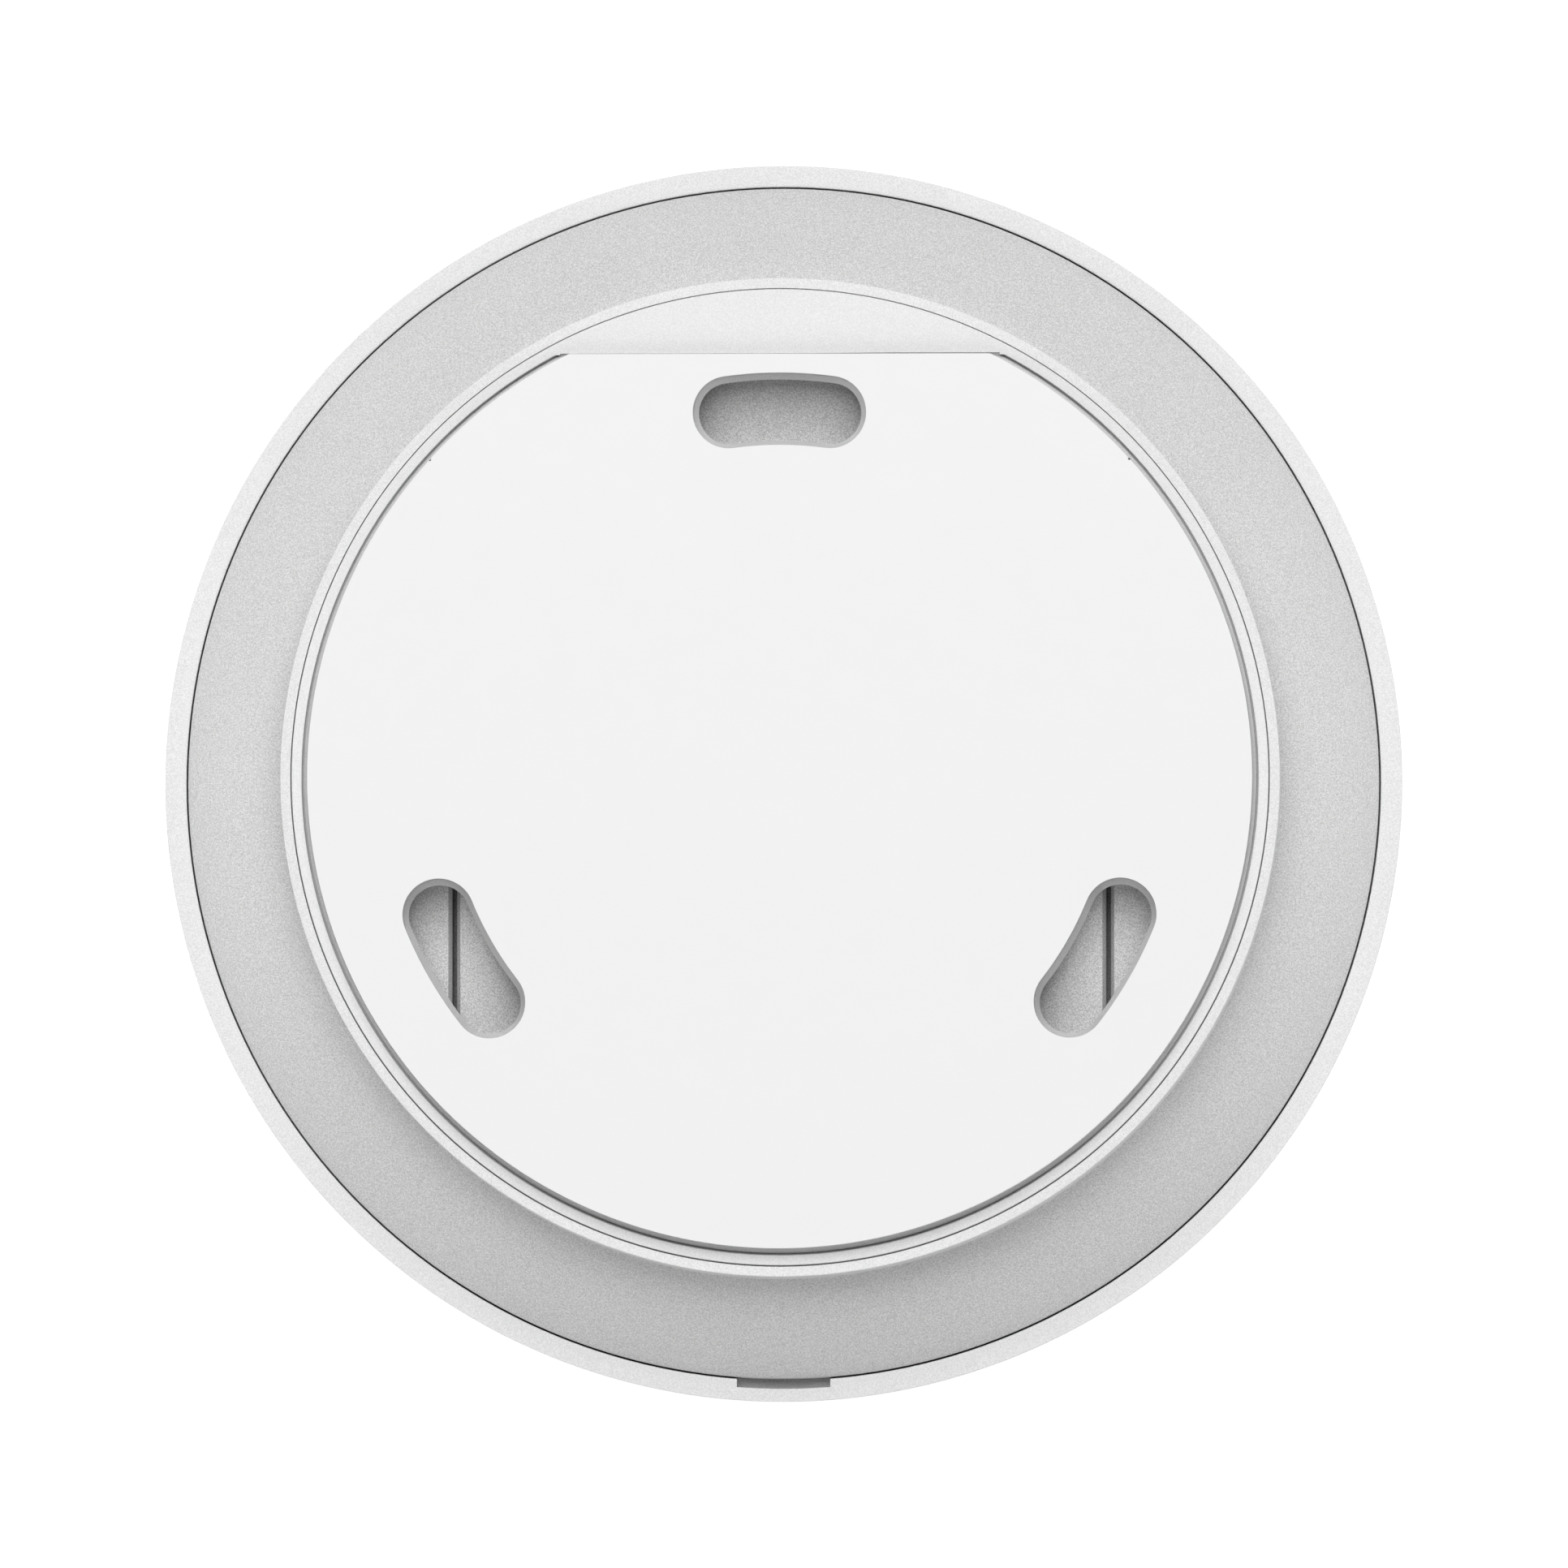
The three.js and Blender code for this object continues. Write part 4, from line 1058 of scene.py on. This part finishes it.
def photodiode():
    case = block(-1.8, 1.3, -2.1, 2.1, -1.7, 1.7, 0.2)
    lens = moved(turned([(AXIS, 1.2), (1.35, 1.2), (1.0, 1.6, 0.6), (AXIS, 1.8)], 40), tilt=90)
    return at_optics(joined(case, lens), RECEIVER_ANGLE)


def at_optics(mesh, angle):
    """Puts a mesh that looks along +X at its place on the chamber's optics circle, looking at the middle."""
    x, y = polar(OPTICS_R, angle)
    return moved(mesh, (CHAMBER[0] + x, CHAMBER[1] + y, OPTICS_Z), angle + 180)


def sounder_housing():
    front = -35.2
    inner_r = SOUNDER_R - 1.1
    shell = lathe(filleted([
        (3, front, 0.3), (SOUNDER_R, front, 0.8), (SOUNDER_R, PARTS_Z, 0.2),
        (inner_r, PARTS_Z, 0.2), (inner_r, front + 1.1, 0.5), (3, front + 1.1, 0.2),
    ]), sides=120)
    notch = (11, 15, -1.2, 1.2, PARTS_Z - 1.6, PARTS_Z + 1, 0.2)
    notches = [moved(block(*notch), turn=angle) for angle in (80, 200, 320)]
    return moved(without(shell, *notches), (SOUNDER_XY, SOUNDER_XY, 0))


def piezo_disc():
    """A brass disc with a ceramic one on its front, which is silvered but for its rim."""
    disc_mesh = turned([
        (AXIS, -29.6), (7.2, -29.6), (8, -29.6, 0.1), (8, -29.3), (12, -29.3, 0.1), (12, -29, 0.1),
        (AXIS, -29),
    ], 120)

    def finish(centre):
        if centre.z > -29.35:
            return 0
        return 1 if from_axis(centre) > 7.2 else 2

    return moved(painted(disc_mesh, finish), (SOUNDER_XY, SOUNDER_XY, 0))


# ---------------- screws

def screw(length, core_r, head_r, head_height, pitch, sides=28):
    """A cross-recessed pan-head screw along -Z, with its head's underside at the origin."""
    profile = []
    steps = round(length / pitch * 6)
    for i in range(steps + 1):
        z = -length + length * i / steps
        taper = min(1, (z + length) / 2 + 0.12)
        profile.append((core_r * taper, z, 0.28 * core_r * taper if z < -pitch * 0.6 else 0))
    head = [(head_r - 0.12, 0), (head_r, 0.12), (head_r, head_height * 0.45)]
    head += [(head_r * c, head_height * (0.45 + 0.55 * s)) for c, s in arc(1, 18, 72, 5)]
    profile += [(r, z, 0) for r, z in head]
    rings = []
    for r, z, thread in profile:
        ring = []
        for k in range(sides):
            phase = (z / pitch - k / sides) % 1
            radius = r + thread * max(0, 1 - abs(phase - 0.5) / 0.32)
            ring.append((*polar(radius, 360 * k / sides), z))
        rings.append(ring)
    arm, slim, depth = head_r * 0.55, head_r * 0.13, head_height * 0.35
    plus = [(arm, slim), (slim, slim), (slim, arm), (-slim, arm), (-slim, slim), (-arm, slim),
            (-arm, -slim), (-slim, -slim), (-slim, -arm), (slim, -arm), (slim, -slim), (arm, -slim)]
    recess = loft([
        [(x * share, y * share, z) for x, y in plus] for share, z in ((0.55, depth), (1.1, head_height + 0.6))
    ])
    return without(loft(rings), recess)


# ---------------- the pieces

piece("mounting_plate", mounting_plate(), PLATE_WHITE, "plate")
piece("back_cover", back_cover(), (COVER_WHITE, POCKET_WHITE_PAINTED_SHADE, SHOULDER_WHITE_PAINTED_SHADE))
piece("front_cover", front_cover(), COVER_WHITE)
piece("battery_door", battery_door(), POCKET_WHITE_PAINTED_SHADE, "door")
piece("test_button", test_button(), COVER_WHITE, "button")
piece("switch_plunger", switch_plunger(), BLACK_PLASTIC, "button")
piece("light_ring", light_ring(), FROSTED)
piece("tact_switch", tact_switch(), (DARK_PLASTIC, STEEL))
spring = piece("button_spring", coil(5.6, 5.6, *SPRING_Z, 5, 0.7), STEEL)
for row in (-1, 0, 1):
    number, facing = row + 2, 0 if row else 180
    along = 1 if row else -1
    cell = moved(battery_cell(), (along * CELL_TIP_X, row * CELL_PITCH, CELL_Z), facing)
    piece(f"battery_{number}", cell, (STEEL, CELL_SLEEVE, CELL_BAND))
    contact = moved(flat_contact(), (along * CELL_CONTACT_X, row * CELL_PITCH, CELL_Z), facing)
    piece(f"battery_contact_{number}", contact, STEEL)
    sprung = moved(spring_contact(), (along * CELL_SPRING_X, row * CELL_PITCH, CELL_Z), facing)
    piece(f"battery_spring_{number}", sprung, STEEL)
piece("main_board", main_board(), BOARD_GREEN)
piece("board_pads", board_pads(), TIN, replaced=False)
piece("board_components", board_components(), (CERAMIC, TIN, BLACK_PLASTIC), replaced=False)
piece("microcontroller", microcontroller(), (BLACK_PLASTIC, TIN))
piece("radio_module", radio_module(), (STEEL, BOARD_GREEN, TIN))
piece("power_inductor", power_inductor(), (DARK_PLASTIC, TIN))
piece("reservoir_capacitor", reservoir_capacitor(), (DARK_PLASTIC, STEEL))
piece("thermistor", thermistor(), (BLACK_PLASTIC, TIN))
piece("battery_connector", battery_connector(), (PLATE_WHITE, TIN))
piece("antenna_strip", antenna_strip(), STEEL)
for number, angle in enumerate(LED_ANGLES, 1):
    piece(f"ring_led_{number}", ring_led(angle), (CERAMIC, PHOSPHOR, TIN))
piece("chamber_base", chamber_base(), BLACK_PLASTIC)
piece("chamber_cap", chamber_cap(), BLACK_PLASTIC)
piece("insect_screen", insect_screen(), SCREEN_STEEL)
piece("infrared_emitter", infrared_emitter(), DARK_EPOXY)
piece("photodiode", photodiode(), DARK_EPOXY)
piece("sounder_housing", sounder_housing(), BLACK_PLASTIC)
piece("piezo_disc", piezo_disc(), (BRASS, CERAMIC, TIN))
for number, angle in enumerate(SCREW_ANGLES, 1):
    fixing = moved(screw(14, 1.0, 2.8, 1.9, 1.1), polar(SCREW_R, angle) + (FLOOR_Z + 0.3,), 20 * number)
    piece(f"cover_screw_{number}", fixing, STEEL)
for number, (x, y) in enumerate(BOARD_SCREWS, 1):
    fixing = moved(screw(8, 0.75, 2.3, 1.5, 0.8), (x, y, PARTS_Z), 35 * number, 180)
    piece(f"board_screw_{number}", fixing, STEEL)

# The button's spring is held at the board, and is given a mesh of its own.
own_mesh(spring)


# ---------------- camera, floor and light

def toward(azimuth, elevation):
    """A direction, from its angle about Z and its angle above the horizon."""
    flat = math.cos(math.radians(elevation))
    x, y = polar(flat, azimuth)
    return Vector((x, y, math.sin(math.radians(elevation))))


camera_data = bpy.data.cameras.new("camera")
camera_data.lens = LENS
camera_data.sensor_width = SENSOR
camera_data.clip_end = 40
camera = added("camera", camera_data)
back = toward(-60, 90 - TILT)
side = Vector((0, 1, 0)).cross(back).normalized()
axes = Matrix((side, back.cross(side), back)).transposed()
camera.matrix_world = Matrix.Translation((AIM + back * (FRAME_WIDTH * LENS / SENSOR)) * MM) @ axes.to_4x4()
bpy.context.scene.camera = camera


def floor():
    half = 6000
    corners = [(-half, -half), (half, -half), (half, half), (-half, half)]
    mesh = loft([[(x, y, z) for x, y in corners] for z in (-60, -39.02)])
    mesh.transform(Matrix.Scale(MM, 4))
    made = added("floor", mesh)
    paint = Paint("floor_paper")
    paint.fill(paint.shader, {
        "Base Color": paint.mixed(paint.noise(40), (0.2, 0.2, 0.2), (0.21, 0.21, 0.21)),
        "Roughness": 0.9,
        "Emission Color": (1, 1, 1, 1),
        "Emission Strength": 0.88,
    })
    mesh.materials.append(paint.material)


def area_light(name, azimuth, elevation, size, power):
    data = bpy.data.lights.new(name, "AREA")
    data.shape = "DISK"
    data.size = size
    data.energy = power
    made = added(name, data)
    away = toward(azimuth, elevation)
    made.visible_camera = False
    made.matrix_world = Matrix.Translation(away * 1.6) @ away.to_track_quat("Z", "Y").to_matrix().to_4x4()


LIGHTS = {
    "left": (180, 12, 0.7, 7.4),
    "right": (0, 12, 0.7, 6.8),
    "top": (90, 60, 1.6, 27.2),
    "bottom": (270, 45, 1.6, 11.4),
}
for light, (azimuth, elevation, size, power) in LIGHTS.items():
    area_light(light, azimuth, elevation, size, power)

world = bpy.data.worlds.new("studio")
world.use_nodes = True
world.node_tree.nodes["Background"].inputs["Color"].default_value = (1, 1, 1, 1)
world.node_tree.nodes["Background"].inputs["Strength"].default_value = 0.01
bpy.context.scene.world = world
bpy.context.scene.view_settings.view_transform = "Standard"
floor()
